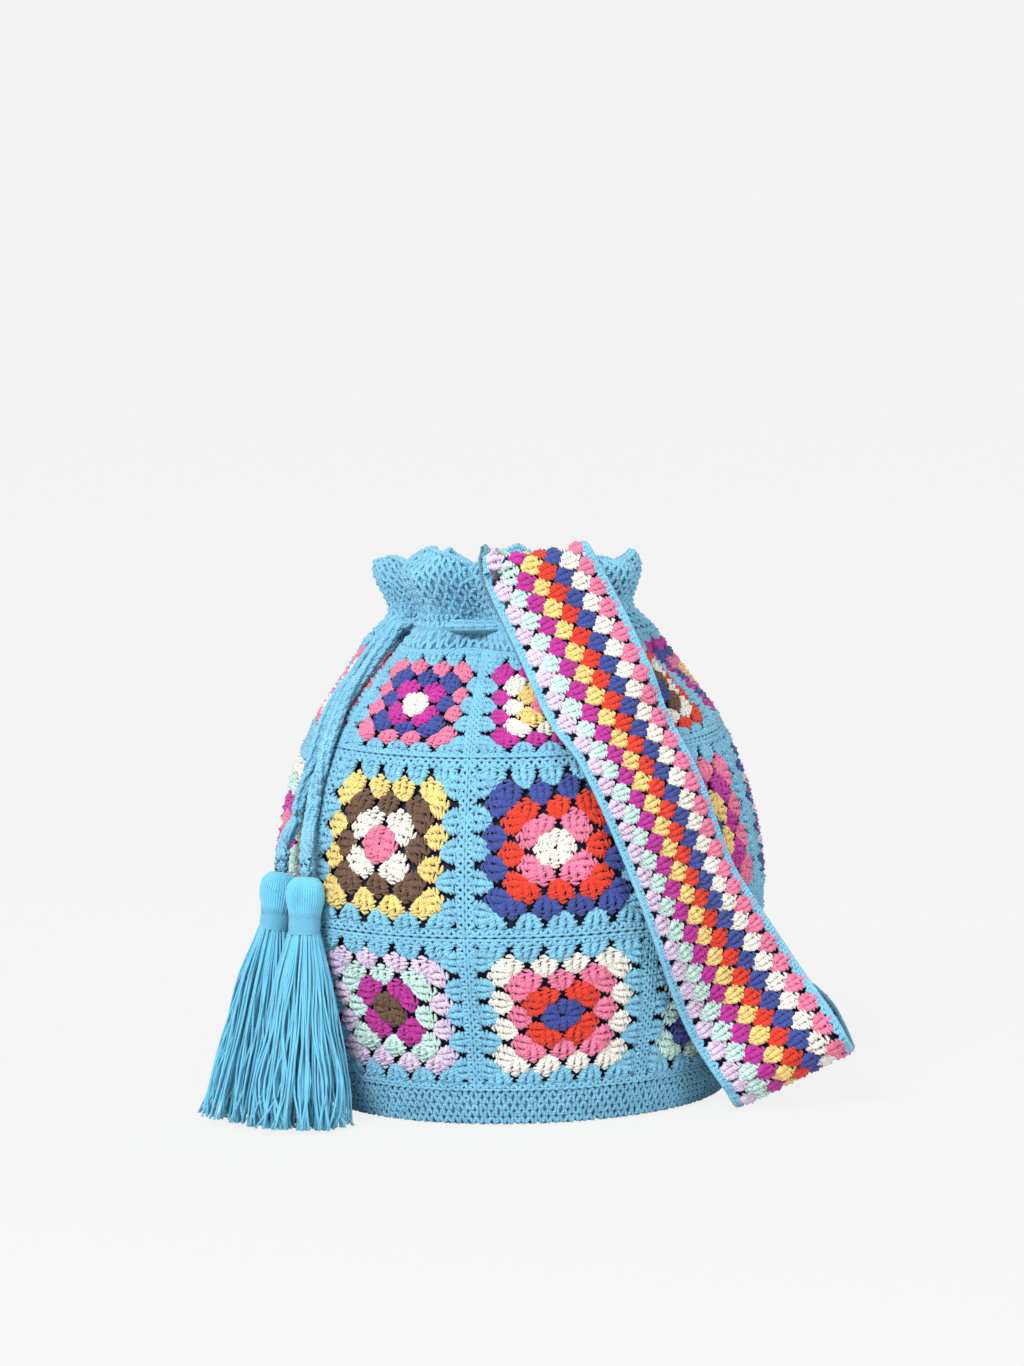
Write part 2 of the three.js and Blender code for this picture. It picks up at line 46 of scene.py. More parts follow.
# The body's outer face, as the CAD model has it
BASE_RADIUS = 110.0
BAND_HEIGHT = 20.0
BAND_RADIUS = BASE_RADIUS + 6
LOW_ROW = 87.0
MID_ROW = 95.0
TOP_ROW = 53.0
BELLY_HEIGHT = 118.0
BELLY_RADIUS = 133.5
SHOULDER_RADIUS = 113.0
COLLAR_SEAM_RADIUS = 70.0
WAIST_RISE = 13.0
WAIST_RADIUS = 58.0
COLLAR_HEIGHT = 50.0
BULGE_DROP = 10.0
BULGE_RADIUS = 70.0
RIM_RADIUS = 66.0
LOBES = 7
LOBE_TURN = math.radians(4)
GATHER_DEPTH = 10.5
GATHER_FADE = 1.6
RIM_WAVE = 6.0
RIM_FALL = 22.0
RIM_TUCK = 0.5
PLEAT_ANGLE = math.radians(-50)
PLEAT_WIDTH = math.radians(7)
PLEAT_DEPTH = 0.45
COLUMNS = 8
FRONT_SQUARE = math.radians(9.6)
COLLAR_THICKNESS = 3.5
GAP = 0.4
CORD = 8.0
CORD_RADIUS = CORD / 2
EXIT_ANGLE = -73.1
EXIT_HALF_ANGLE = 10.6
RIDGE = 1.3
STRAP_THICKNESS = 4.5
STRAP_WIDTH = 73.0
STRAP_END_WIDTH = 56.0
STRAP_TURN_RADIUS = 17.0
STRAP_FOLD_RADIUS = 4.8

MID_SEAM = BAND_HEIGHT + LOW_ROW
SHOULDER = MID_SEAM + MID_ROW
COLLAR_SEAM = SHOULDER + TOP_ROW
WAIST = COLLAR_SEAM + WAIST_RISE
RIM = COLLAR_SEAM + COLLAR_HEIGHT
LOOP_HEIGHT = WAIST - 2

PROFILE = np.array([
    (0, BASE_RADIUS), (BAND_HEIGHT, BAND_RADIUS), (BELLY_HEIGHT, BELLY_RADIUS),
    (SHOULDER, SHOULDER_RADIUS), (COLLAR_SEAM, COLLAR_SEAM_RADIUS), (WAIST, WAIST_RADIUS),
    (RIM - BULGE_DROP, BULGE_RADIUS), (RIM + RIM_WAVE, RIM_RADIUS),
])


def smoothstep(x, low, high):
    t = np.clip((x - low) / (high - low), 0, 1)
    return t * t * (3 - 2 * t)


def normalised(v):
    """The same vectors, each with a length of one."""
    return v / np.maximum(np.linalg.norm(v, axis=-1, keepdims=True), 1e-9)


def unit(x, y, z):
    return normalised(np.array([x, y, z], float))


def radius_at(z):
    """The body's radius where it isn't gathered, a smooth curve through the seams."""
    z = np.asarray(z, float)
    heights, radii = PROFILE.T
    last = len(heights) - 1
    ends = np.arange(len(heights))
    before, after = np.maximum(ends - 1, 0), np.minimum(ends + 1, last)
    slopes = (radii[after] - radii[before]) / (heights[after] - heights[before])
    i = np.clip(np.searchsorted(heights, z, side="left") - 1, 0, last - 1)
    span = heights[i + 1] - heights[i]
    t = (z - heights[i]) / span
    rise = t * t * (3 - 2 * t)
    bend = slopes[i] * (t - 2 * t * t + t**3) + slopes[i + 1] * (t**3 - t * t)
    return radii[i] + (radii[i + 1] - radii[i]) * rise + bend * span


def gather_at(z):
    z = np.asarray(z, float)
    tuck = RIM_TUCK * smoothstep(z, RIM - BULGE_DROP, RIM + RIM_WAVE)
    return GATHER_DEPTH * (1 - tuck) * smoothstep(z, SHOULDER - 8, WAIST) ** GATHER_FADE


def lobe_at(theta):
    away = np.arctan2(np.sin(theta - PLEAT_ANGLE), np.cos(theta - PLEAT_ANGLE))
    pleat = PLEAT_DEPTH * np.exp(-((away / PLEAT_WIDTH) ** 2))
    return np.cos(LOBES * (theta - LOBE_TURN)) - pleat


def body_point(theta, z):
    radius = radius_at(z) + gather_at(z) * lobe_at(theta)
    return np.stack([radius * np.sin(theta), -radius * np.cos(theta), z * np.ones_like(radius)], -1)


def body_normal(theta, z):
    across = body_point(theta + 0.01, z) - body_point(theta - 0.01, z)
    up = body_point(theta, z + 1) - body_point(theta, z - 1)
    return normalised(np.cross(across, up))


def over_body(theta, z, lift):
    """Points lifted off the gathered body, square to its face."""
    theta, z, lift = np.broadcast_arrays(*(np.asarray(x, float) for x in (theta, z, lift)))
    return body_point(theta, z) + body_normal(theta, z) * lift[..., None]


def beside_body(degrees, z, off):
    """A point off the ungathered body."""
    theta, radius = math.radians(degrees), float(radius_at(z)) + off
    return np.array([radius * math.sin(theta), -radius * math.cos(theta), z])


# Smooth lines through given points


def catmull(points, samples, even=False):
    """A Catmull-Rom curve through points, with samples points at even shares of its spans.

    The knots lie by the root of the distance between points, or evenly if even is true.
    """
    p = np.asarray(points, float)
    p = np.concatenate([[2 * p[0] - p[1]], p, [2 * p[-1] - p[-2]]])
    out = []
    spans = len(p) - 3
    for at in np.linspace(0, spans, samples):
        i = min(int(at), spans - 1)
        t = at - i
        a, b, c, d = p[i : i + 4]
        if even:
            t1, t2 = (c - a) / 2, (d - b) / 2
        else:
            k0, k1, k2 = (
                max(np.linalg.norm(x) ** 0.5, 1e-4) for x in (b - a, c - b, d - c)
            )
            t1 = ((b - a) / k0 - (c - a) / (k0 + k1) + (c - b) / k1) * k1
            t2 = ((c - b) / k1 - (d - b) / (k1 + k2) + (d - c) / k2) * k1
        out.append(
            b + t1 * t + (-3 * b + 3 * c - 2 * t1 - t2) * t**2 + (2 * b - 2 * c + t1 + t2) * t**3
        )
    return np.array(out)


def gone_along(points):
    """How far along a line each of its points is."""
    return np.concatenate([[0], np.cumsum(np.linalg.norm(np.diff(points, axis=0), axis=1))])


def length_of(points):
    return float(gone_along(points)[-1])


def respaced(points, count):
    """The same line with its points evenly far apart."""
    at = gone_along(points)
    return np.stack([np.interp(np.linspace(0, at[-1], count), at, c) for c in points.T], -1)


# Objects and their places


def new_object(name, data):
    obj = bpy.data.objects.new(name, data)
    bpy.context.scene.collection.objects.link(obj)
    return obj


def placed(right, up, back, place):
    """The matrix of an object with these three axes, at this place."""
    turn = np.eye(4)
    turn[:3] = np.stack([right, up, back, place], 1)
    return Matrix(turn.tolist())


# The camera, at the photograph's angle: looking a little down, from far away

PHOTO_SIZE = (1024, 1366)
PHOTO_SCALE = 0.555
BASE_AT = (525, 1088)
ELEVATION = math.radians(8)
ROLL = math.radians(1.5)
DISTANCE = 5000.0


def make_camera():
    ahead = np.array([0, math.cos(ELEVATION), -math.sin(ELEVATION)])
    level = np.array([1.0, 0, 0])
    above = np.array([0, math.sin(ELEVATION), math.cos(ELEVATION)])
    right = level * math.cos(ROLL) - above * math.sin(ROLL)
    up = above * math.cos(ROLL) + level * math.sin(ROLL)
    off_right = (BASE_AT[0] - PHOTO_SIZE[0] / 2) * PHOTO_SCALE
    off_down = (BASE_AT[1] - PHOTO_SIZE[1] / 2) * PHOTO_SCALE
    place = -right * off_right + up * off_down - ahead * DISTANCE
    data = bpy.data.cameras.new("camera")
    data.sensor_fit = "AUTO"
    data.sensor_width = 36
    data.lens = 36 * DISTANCE / (PHOTO_SIZE[1] * PHOTO_SCALE)
    data.clip_end = 30
    camera = new_object("camera", data)
    camera.matrix_world = placed(right, up, -ahead, place * MM)
    bpy.context.scene.camera = camera


make_camera()


# Materials: each yarn has its colour, a twist along the strand, fuzz and uneven dye, and painted
# shade in the ply grooves and on the sides of strands that face into the fabric


def srgb(r, g, b):
    return [((c / 255 + 0.055) / 1.055) ** 2.4 if c > 10 else c / 255 / 12.92 for c in (r, g, b)]


YARNS = {
    "blue": (128, 196, 226),
    "magenta": (196, 44, 158),
    "red": (233, 60, 36),
    "navy": (60, 78, 158),
    "cream": (246, 241, 230),
    "pink": (240, 128, 164),
    "yellow": (250, 216, 134),
    "mint": (204, 238, 228),
    "lilac": (228, 206, 234),
    "brown": (108, 79, 60),
}


class Nodes:
    """A short way to build a material's nodes."""

    def __init__(self, name):
        self.material = bpy.data.materials.new(name)
        self.material.use_nodes = True
        self.tree = self.material.node_tree
        self.shader = self.tree.nodes["Principled BSDF"]

    def add(self, kind, settings=(), **inputs):
        node = self.tree.nodes.new(kind)
        for key, value in dict(settings).items():
            setattr(node, key, value)
        return self.fill(node, inputs)

    def fill(self, node, inputs):
        for key, value in inputs.items():
            self.put(node.inputs[key.replace("_", " ")], value)
        return node

    def look(self, **inputs):
        self.fill(self.shader, inputs)

    def put(self, socket, value):
        if isinstance(value, bpy.types.NodeSocket):
            self.tree.links.new(value, socket)
        else:
            socket.default_value = value

    def maths(self, operation, *values):
        node = self.add("ShaderNodeMath", {"operation": operation})
        for socket, value in zip(node.inputs, values):
            self.put(socket, value)
        return node.outputs[0]

    def ramp(self, fac, stops):
        node = self.add("ShaderNodeValToRGB", Fac=fac)
        elements = node.color_ramp.elements
        while len(elements) < len(stops):
            elements.new(0.5)
        for element, (at, colour) in zip(elements, stops):
            element.position, element.color = at, colour
        return node.outputs["Color"]


def shade(colour, by):
    return [min(c * by, 1) for c in colour] + [1]


PLIES = 3
TURNS_PER_MM = 0.2
# How much colour is left in the painted shade of the grooves between plies
GROOVE_SHADE = 0.76


def yarn_material(name, rgb, twist=1.0, sheen=0.25, deep=0.55):
    """Matt cotton yarn. The strand attribute holds how far round and along each strand a point
    is, in turns and millimetres, so the plies of the twist follow the strand, and the colour
    is darkened in the grooves between plies as painted shade. Its third number is 1 on the
    fabric's face and -1 behind it, where deep darkens the colour as painted shade between
    the strands."""
    n = Nodes(name)
    base = srgb(*rgb)
    place = n.add("ShaderNodeNewGeometry").outputs["Position"]
    strand = n.add("ShaderNodeAttribute", {"attribute_name": "strand"}).outputs["Vector"]
    split = n.add("ShaderNodeSeparateXYZ", Vector=strand)
    turns = n.maths("MULTIPLY", split.outputs["Y"], TURNS_PER_MM * twist)
    turns = n.maths("ADD", turns, split.outputs["X"])
    ply = n.maths("SINE", n.maths("MULTIPLY", turns, 2 * math.pi * PLIES))
    fuzz = n.add("ShaderNodeTexNoise", Vector=place, Scale=2600.0, Detail=4.0, Roughness=0.7)
    dye = n.add("ShaderNodeTexNoise", Vector=place, Scale=95.0, Detail=3.0)
    dyed = n.ramp(dye.outputs["Fac"], [(0.3, shade(base, 0.92)), (0.7, shade(base, 1.12))])
    # Painted shade: the colour is darkened in the grooves between the plies
    painted_groove_shade = n.add(
        "ShaderNodeMapRange", {"interpolation_type": "SMOOTHSTEP"}, Value=ply, From_Min=-1.0,
        To_Min=GROOVE_SHADE,
    )
    # Painted shade: the colour is darkened where a strand faces into the fabric, between the
    # strands
    painted_facing_shade = n.add(
        "ShaderNodeMapRange", Value=split.outputs["Z"], From_Min=-0.9, From_Max=0.8,
        To_Min=deep, To_Max=1.04,
    )
    painted_shade = n.maths("MULTIPLY", painted_groove_shade.outputs["Result"], painted_facing_shade.outputs["Result"])
    mixed = n.add("ShaderNodeMix", {"data_type": "RGBA", "blend_type": "MULTIPLY"})
    mixed.inputs[0].default_value = 1.0
    n.put(mixed.inputs[6], dyed)
    n.put(mixed.inputs[7], painted_shade)
    height = n.maths("MULTIPLY_ADD", ply, 0.5, fuzz.outputs["Fac"])
    bump = n.add("ShaderNodeBump", Height=height, Strength=0.7, Distance=0.00035)
    n.look(
        Base_Color=mixed.outputs[2], Roughness=0.85, Specular_IOR_Level=0.25, Sheen_Weight=sheen,
        Sheen_Roughness=0.5, Normal=bump.outputs["Normal"],
    )
    return n.material


def lining_material():
    n = Nodes("lining_cloth")
    place = n.add("ShaderNodeTexCoord").outputs["Object"]
    noise = n.add("ShaderNodeTexNoise", Vector=place, Scale=240.0, Detail=4.0)
    colour = n.ramp(noise.outputs["Fac"], [
        (0.3, srgb(20, 24, 48) + [1]), (0.7, srgb(42, 48, 82) + [1]),
    ])
    warp = n.add("ShaderNodeTexWave", {"bands_direction": "Z"}, Vector=place, Scale=420.0)
    weft = n.add("ShaderNodeTexWave", {"bands_direction": "X"}, Vector=place, Scale=420.0)
    weave = n.maths("MAXIMUM", warp.outputs["Fac"], weft.outputs["Fac"])
    bump = n.add("ShaderNodeBump", Height=weave, Strength=0.4, Distance=0.0002)
    n.look(Base_Color=colour, Roughness=0.8, Normal=bump.outputs["Normal"])
    return n.material


def metal_material():
    n = Nodes("stud_metal")
    place = n.add("ShaderNodeTexCoord").outputs["Object"]
    noise = n.add("ShaderNodeTexNoise", Vector=place, Scale=700.0, Detail=5.0)
    rough = n.add("ShaderNodeMapRange", Value=noise.outputs["Fac"], To_Min=0.12, To_Max=0.3)
    colour = n.ramp(noise.outputs["Fac"], [
        (0.2, srgb(190, 192, 196) + [1]), (0.8, srgb(232, 233, 236) + [1]),
    ])
    n.look(Base_Color=colour, Roughness=rough.outputs["Result"], Metallic=1.0)
    return n.material


MATERIALS = {name: yarn_material(f"{name}_yarn", rgb) for name, rgb in YARNS.items()}
# The tassel yarn gets only a light painted shade behind its strands: deep is 0.9
TASSEL_YARN = yarn_material("tassel_yarn", (110, 204, 238), twist=1.4, sheen=0.4, deep=0.9)
LINING = lining_material()
METAL = metal_material()


# Strands: tubes along many lines at once


class Weave:
    """Points, four-sided faces and each face's material, gathered strand by strand."""

    def __init__(self):
        self.points, self.faces, self.strand, self.slots = [], [], [], []
        self.count = 0

    def put(self, points, faces, strand, slots):
        self.points.append(points)
        self.faces.append(faces + self.count)
        self.strand.append(strand)
        self.slots.append(np.broadcast_to(slots, len(faces)).astype(np.int32))
        self.count += len(points)

    def arrays(self):
        return tuple(np.concatenate(x) for x in (self.points, self.faces, self.strand, self.slots))


def tubes(lines, radius, sides=6, up=(0, 0, 1), buried=False):
    """Tubes along lines, an array of m lines of n points. Gives points, faces and strand
    coordinates. The radius may differ from point to point, and buried ends have no caps."""
    lines = np.asarray(lines, float)
    m, n, _ = lines.shape
    radius = np.broadcast_to(np.asarray(radius, float), (m, n))
    along = normalised(np.gradient(lines, axis=1))
    side = normalised(np.cross(along, np.asarray(up, float)))
    out = np.cross(side, along)
    turn = 2 * np.pi * np.arange(sides) / sides
    ring = (
        side[:, :, None] * np.cos(turn)[:, None]
        + out[:, :, None] * np.sin(turn)[:, None]
    )
    points = lines[:, :, None] + ring * radius[:, :, None, None]
    steps = np.linalg.norm(np.diff(lines, axis=1), axis=2)
    gone = np.concatenate([np.zeros((m, 1)), np.cumsum(steps, axis=1)], axis=1)
    strand = np.zeros((m, n, sides, 3))
    strand[..., 0] = np.arange(sides) / sides
    strand[..., 1] = gone[:, :, None]
    # The third number is how far a point faces out, which the yarn material turns into painted
    # shade where it faces in
    strand[..., 2] = np.sin(turn)
    i, j = np.meshgrid(np.arange(n - 1), np.arange(sides), indexing="ij")
    a = (i * sides + j).ravel()
    b = (i * sides + (j + 1) % sides).ravel()
    walls = np.stack([b, a, a + sides, b + sides], 1)
    last = (n - 1) * sides
    caps = [[0, 1, 2, 3], [last + 3, last + 2, last + 1, last]]
    if sides == 6:
        caps += [[0, 3, 4, 5], [last + 5, last + 4, last + 3, last]]
    one = walls if buried else np.concatenate([walls, caps])
    faces = (one[None] + (np.arange(m) * n * sides)[:, None, None]).reshape(-1, 4)
    return points.reshape(-1, 3), faces, strand.reshape(-1, 3)


def make_mesh(name, points, faces, strand, slots, materials):
    """An object in metres from millimetre points."""
    mesh = bpy.data.meshes.new(name)
    mesh.vertices.add(len(points))
    mesh.vertices.foreach_set("co", (points * MM).astype(np.float32).ravel())
    mesh.loops.add(faces.size)
    mesh.loops.foreach_set("vertex_index", faces.astype(np.int32).ravel())
    mesh.polygons.add(len(faces))
    sides = faces.shape[1]
    mesh.polygons.foreach_set("loop_start", np.arange(0, faces.size, sides, dtype=np.int32))
    mesh.polygons.foreach_set("loop_total", np.full(len(faces), sides, np.int32))
    for material in materials:
        mesh.materials.append(material)
    mesh.polygons.foreach_set("material_index", np.asarray(slots, np.int32))
    mesh.polygons.foreach_set("use_smooth", np.full(len(faces), True))
    attribute = mesh.attributes.new("strand", "FLOAT_VECTOR", "POINT")
    attribute.data.foreach_set("vector", strand.astype(np.float32).ravel())
    mesh.update(calc_edges=True)
    mesh.validate()
    return new_object(name, mesh)


def finish_piece(obj, nodes):
    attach(obj, "root")
    if nodes:
        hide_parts(*nodes)
    return obj


# The drawstring: a chain-stitch cord, in a loop through the collar and two free tails

LOOP_RADIUS = float(radius_at(LOOP_HEIGHT))
TASSEL_TOP = 136.2


def loop_point(degrees):
    theta = math.radians(degrees)
    return np.array([LOOP_RADIUS * math.sin(theta), -LOOP_RADIUS * math.cos(theta), LOOP_HEIGHT])


TASSELS = {
    "front": {
        "side": 1, "top": beside_body(-53.5, TASSEL_TOP, 12), "foot": beside_body(-50.7, 0, 50.2),
        "route": [
            (-66.4, 8, 3), (-66.6, 17, 2), (-66.2, 29, 1.2), (-63.6, 42, 0.8),
            (-60.4, 56, 0.5), (-59.4, 72, 0.4), (-58.6, 90, 0.4), (-57.4, 106, 1),
        ],
    },
    "back": {
        "side": -1, "top": beside_body(-62.6, TASSEL_TOP, 13.8), "foot": beside_body(-63, 0, 57.2),
        "route": [
            (-80, 8, 3), (-79.4, 17, 2), (-76.4, 29, 1.2), (-71, 42, 0.8),
            (-66.6, 56, 0.5), (-64.9, 72, 0.4), (-64.6, 90, 0.4), (-64.9, 106, 1),
        ],
    },
}


def tail_line(tassel):
    side, top, foot = tassel["side"], tassel["top"], tassel["foot"]
    end = EXIT_ANGLE + side * EXIT_HALF_ANGLE
    dip = loop_point(end - side * 5.4) * (1 + 2 / LOOP_RADIUS)
    dip[2] = LOOP_HEIGHT - 2.4
    lift = CORD_RADIUS + RIDGE + GAP
    over = [
        over_body(math.radians(degrees), LOOP_HEIGHT - drop, lift + more)
        for degrees, drop, more in tassel["route"]
    ]
    axis = normalised(top - foot)
    points = [
        loop_point(end - side * 1.1), loop_point(end - side * 2.6), dip,
        *over, top + axis * 2 * CORD, top + axis * GAP,
    ]
    return respaced(catmull(points, 160), 81)


LINK = 6.0
LINK_COLUMNS = 3
CORE_RADIUS = 2.7
LINK_RADIUS = np.array([1.0, 1.5, 1.5, 0.9])


def chain(weave, line):
    """A round cord of chain stitches along a line: a core, and columns of V-shaped links."""
    weave.put(*tubes(line[None], CORE_RADIUS), 0)
    total = length_of(line)
    count = int(total / LINK)
    at = np.arange(count) * total / count
    along_line = np.linspace(0, total, len(line))
    tangent = normalised(np.gradient(line, axis=0))
    side = normalised(np.cross(tangent, [0.3, 0.2, 1]))
    out = np.cross(side, tangent)

    def place(s, angle, radius):
        c, d, o = (
            np.stack([np.interp(s, along_line, x) for x in v.T], -1) for v in (line, side, out)
        )
        return c + (d * np.cos(angle)[..., None] + o * np.sin(angle)[..., None]) * radius

    half = math.pi / LINK_COLUMNS
    for column in range(LINK_COLUMNS):
        middle = 2 * half * column + at * 0.02
        start = at + LINK * 0.5 * (column % 2)
        for leg in (-1, 1):
            path = [
                place(start + along * LINK, middle + leg * half * apart, radius)
                for along, apart, radius in (
                    (0.0, 0.16, 1.9), (0.35, 0.72, 2.7), (0.9, 0.78, 2.8), (1.5, 0.14, 2.1),
                )
            ]
            weave.put(*tubes(np.stack(path, 1), LINK_RADIUS), 0)


def whole(weave, name, materials):
    """The object that a weave makes."""
    return make_mesh(name, *weave.arrays(), materials)


def plain_piece(name, points, faces, nodes, material):
    """A skin of one material, with no strands."""
    piece = make_mesh(name, points, faces, points * 0, 0 * faces[:, 0], [material])
    return finish_piece(piece, nodes)


def make_cord(name, line):
    weave = Weave()
    chain(weave, line)
    return finish_piece(whole(weave, name, [MATERIALS["blue"]]), [name])


loop_angles = np.linspace(
    EXIT_ANGLE + EXIT_HALF_ANGLE, EXIT_ANGLE - EXIT_HALF_ANGLE + 360, 120
)
make_cord("drawstring_loop", np.array([loop_point(a) for a in loop_angles]))
tail_lines = {name: tail_line(tassel) for name, tassel in TASSELS.items()}
tails = {name: make_cord(f"drawstring_tail_{name}", line) for name, line in tail_lines.items()}


# The tassels: a head of strands turned over the cord, a wound neck, and a loose skirt

HEAD_LENGTH = 21.0
BINDING_LENGTH = 11.5
BINDING_RADIUS = 8.7
NECK_RADIUS = 7.2
SKIRT_RADIUS = 33.0
SKIRT_STRANDS = 260
SKIRT_STEPS = 13
SKIRT_STRAND_RADIUS = 0.62
SKIRT_WANDER = 2.1
CLUMPS = 13
HEAD_STRANDS = 46
HEAD_STRAND_RADIUS = 0.72
BINDING_TURNS = 11
BINDING_THREAD_RADIUS = 0.68
# The head's strands, as (distance from the axis, height over the head's top)
HEAD_OUTLINE = np.array([
    (1.4, -0.4), (6.2, -1.6), (9.4, -5), (10.2, -10), (9.8, -14.5), (8.6, -18.5), (7.9, -23.5),
])


def hanging_frame(tassel):
    down = normalised(tassel["foot"] - tassel["top"])
    side = normalised(np.cross(down, [0, 1, 0]))
    return side, np.cross(down, side), down


def skirt_lines(name, tassel):
    """Loose strands from the neck down to the floor, in clumps that part and curl."""
    side, front, down = hanging_frame(tassel)
    top, length = tassel["top"], np.linalg.norm(tassel["foot"] - tassel["top"])
    neck = HEAD_LENGTH + BINDING_LENGTH - 2
    n = SKIRT_STRANDS
    angle = rng.uniform(0, 2 * np.pi, n)
    share = np.sqrt(rng.uniform(0, 1, n))
    clump = np.round(angle / (2 * np.pi / CLUMPS)) * (2 * np.pi / CLUMPS)
    t = np.linspace(0, 1, SKIRT_STEPS)
    drawn = angle[:, None] + (clump - angle)[:, None] * 0.45 * smoothstep(t, 0.3, 0.95)
    swell = smoothstep(t, -0.15, 0.32) * 0.34 + 0.66 * t**1.5
    spread = NECK_RADIUS * 0.9 + (SKIRT_RADIUS * 0.93 - NECK_RADIUS) * swell
    reach = share[:, None] * spread
    wander = rng.normal(0, 1, (n, 3, 2))
    wave = sum(
        wander[:, k, None, :] * np.sin(t * (k + 1) * 3.1 + 0.4 * k)[:, None] * (t[:, None] ** 1.1)
        for k in range(3)
    ) * SKIRT_WANDER
    across = reach * np.cos(drawn) + wave[..., 0]
    deep = reach * np.sin(drawn) * 0.92 + wave[..., 1]
    fall = neck + (length - neck - 0.5) * t
    lines = (
        top + side * across[..., None] + front * deep[..., None] + down * fall[None, :, None]
    )
    lowest = 0.8 + 2.2 * share[:, None] * rng.uniform(0, 1, (n, 1))
    lines[..., 2] = np.maximum(lines[..., 2], lowest)
    front_foot, back_foot = TASSELS["front"]["foot"], TASSELS["back"]["foot"]
    between = (front_foot + back_foot) / 2
    apart = normalised((front_foot - back_foot) * [1, 1, 0])
    own = 1 if name == "front" else -1
    beyond = (lines - between) @ (apart * own)
    short = np.minimum(beyond - 0.8, 0)
    return lines - short[..., None] * apart * own


def make_tassel(name, tassel):
    side, front, down = hanging_frame(tassel)
    top = tassel["top"]
    weave = Weave()
    angles = np.arange(HEAD_STRANDS) / HEAD_STRANDS * 2 * np.pi
    for layer, inset in ((0, 0.0), (0.5, 0.9)):
        turned = angles + layer * 2 * np.pi / HEAD_STRANDS
        ring = side * np.cos(turned)[:, None, None] + front * np.sin(turned)[:, None, None]
        reach = HEAD_OUTLINE[:, 0] - inset + rng.normal(0, 0.12, (HEAD_STRANDS, 1))
        lines = top + ring * reach[..., None] - down * HEAD_OUTLINE[:, 1][:, None]
        weave.put(*tubes(lines, HEAD_STRAND_RADIUS, up=ring), 0)
    weave.put(*tubes(skirt_lines(name, tassel), SKIRT_STRAND_RADIUS), 0)
    piece = whole(weave, f"tassel_{name}", [TASSEL_YARN])
    return finish_piece(piece, [f"tassel_{name}"])


def make_binding(name, tassel):
    """Thread wound tightly round the neck, over a core that fills it."""
    side, front, down = hanging_frame(tassel)
    t = np.linspace(0, 1, BINDING_TURNS * 20)
    angle = t * BINDING_TURNS * 2 * np.pi
    belly = BINDING_RADIUS - 0.75 + 0.35 * np.sin(t * math.pi)
    ring = side * np.cos(angle)[:, None] + front * np.sin(angle)[:, None]
    fall = HEAD_LENGTH + 0.6 + (BINDING_LENGTH - 1.2) * t
    line = tassel["top"] + ring * belly[:, None] + down * fall[:, None]
    weave = Weave()
    weave.put(*tubes(line[None], BINDING_THREAD_RADIUS, up=down), 0)
    core = [tassel["top"] + down * d for d in (HEAD_LENGTH - 1, HEAD_LENGTH + BINDING_LENGTH)]
    weave.put(*tubes([core], BINDING_RADIUS - 1.1), 0)
    piece = whole(weave, f"tassel_{name}_binding", [TASSEL_YARN])
    return finish_piece(piece, [f"tassel_{name}_binding"])


for name, tassel in TASSELS.items():
    hung = [make_tassel(name, tassel), make_binding(name, tassel)]


# Stitches. Each is a few short strands, given as points (along the row, up it, out of it)


def tall_stitch(at):
    """One tall stitch of a cluster whose stitches share a foot: at is its place in the row."""
    arch = 1 - 0.009 * at * at
    post = [(0.4 * at, -0.9, -1.4), (0.92 * at, 4.2, 0.45), (0.9 * at, 8.6 * arch, -0.3)]
    low_wrap = [(0.74 * at - 2.3, 1.3, -0.3), (0.76 * at, 2.6, 1.6), (0.84 * at + 2.3, 4.0, -0.1)]
    wrap = [(at - 2.4, 4.3, 0.0), (at, 5.5, 1.95), (at + 2.4, 7.0 * arch, 0.1)]
    low_top = [
        (0.92 * at - 2.4, 8.1 * arch, 0.2), (0.92 * at, 8.3 * arch, 1.3),
        (0.92 * at + 2.4, 9.2 * arch, 0.2),
    ]
    high_top = [
        (0.9 * at - 2.2, 9.9 * arch, -0.4), (0.9 * at, 10.3 * arch, 0.4),
        (0.9 * at + 2.2, 9.4 * arch, 0.1),
    ]
    return post, [low_wrap, wrap, low_top, high_top]


# A fan is three tall stitches: its thick posts, and its thinner strands
STITCH_GAP = 4.7
FAN_DEPTH = 9.4
FAN_STITCHES = [tall_stitch(at) for at in (-STITCH_GAP, 0, STITCH_GAP)]
POSTS = np.array([post for post, _ in FAN_STITCHES])
THIN = np.array([strand for _, strands in FAN_STITCHES for strand in strands])
POST_RADIUS = np.array([1.6, 2.1, 1.65])
THIN_RADIUS = np.array([0.65, 1.2, 0.65])


def lay_fans(weave, feet, tops, lifts, to_space, slot, thickness=1.0, spread=1.07):
    """Fans from their feet to their tops in a flat design, which to_space turns into space."""
    up = tops - feet
    depth = np.linalg.norm(up, axis=1)
    up /= depth[:, None]
    across = np.stack([up[:, 1], -up[:, 0]], 1)
    m = len(feet)
    widen = rng.uniform(0.94, 1.06, (m, 1, 1))
    for lines, radius, sides in ((POSTS, POST_RADIUS, 6), (THIN, THIN_RADIUS, 4)):
        own = lines[None] + rng.normal(0, 0.16, (m, *lines.shape))
        u = own[..., 0] * widen * spread
        v = own[..., 1] * (depth / FAN_DEPTH)[:, None, None]
        flat = (
            feet[:, None, None] + across[:, None, None] * u[..., None]
            + up[:, None, None] * v[..., None]
        )
        w = own[..., 2] * thickness + lifts[:, None, None]
        flat, w = flat.reshape(-1, lines.shape[1], 2), w.reshape(-1, lines.shape[1])
        space, normal = to_space(flat[..., 0], flat[..., 1], w)
        weave.put(*tubes(space, radius * thickness, sides, normal, buried=True), slot)


def lay_strands(weave, lines, radius, to_space, slot, sides=4):
    """Strands given in a flat design, an array of lines of (x, y, lift) points."""
    space, normal = to_space(lines[..., 0], lines[..., 1], lines[..., 2])
    weave.put(*tubes(space, radius, sides, normal, buried=True), slot)


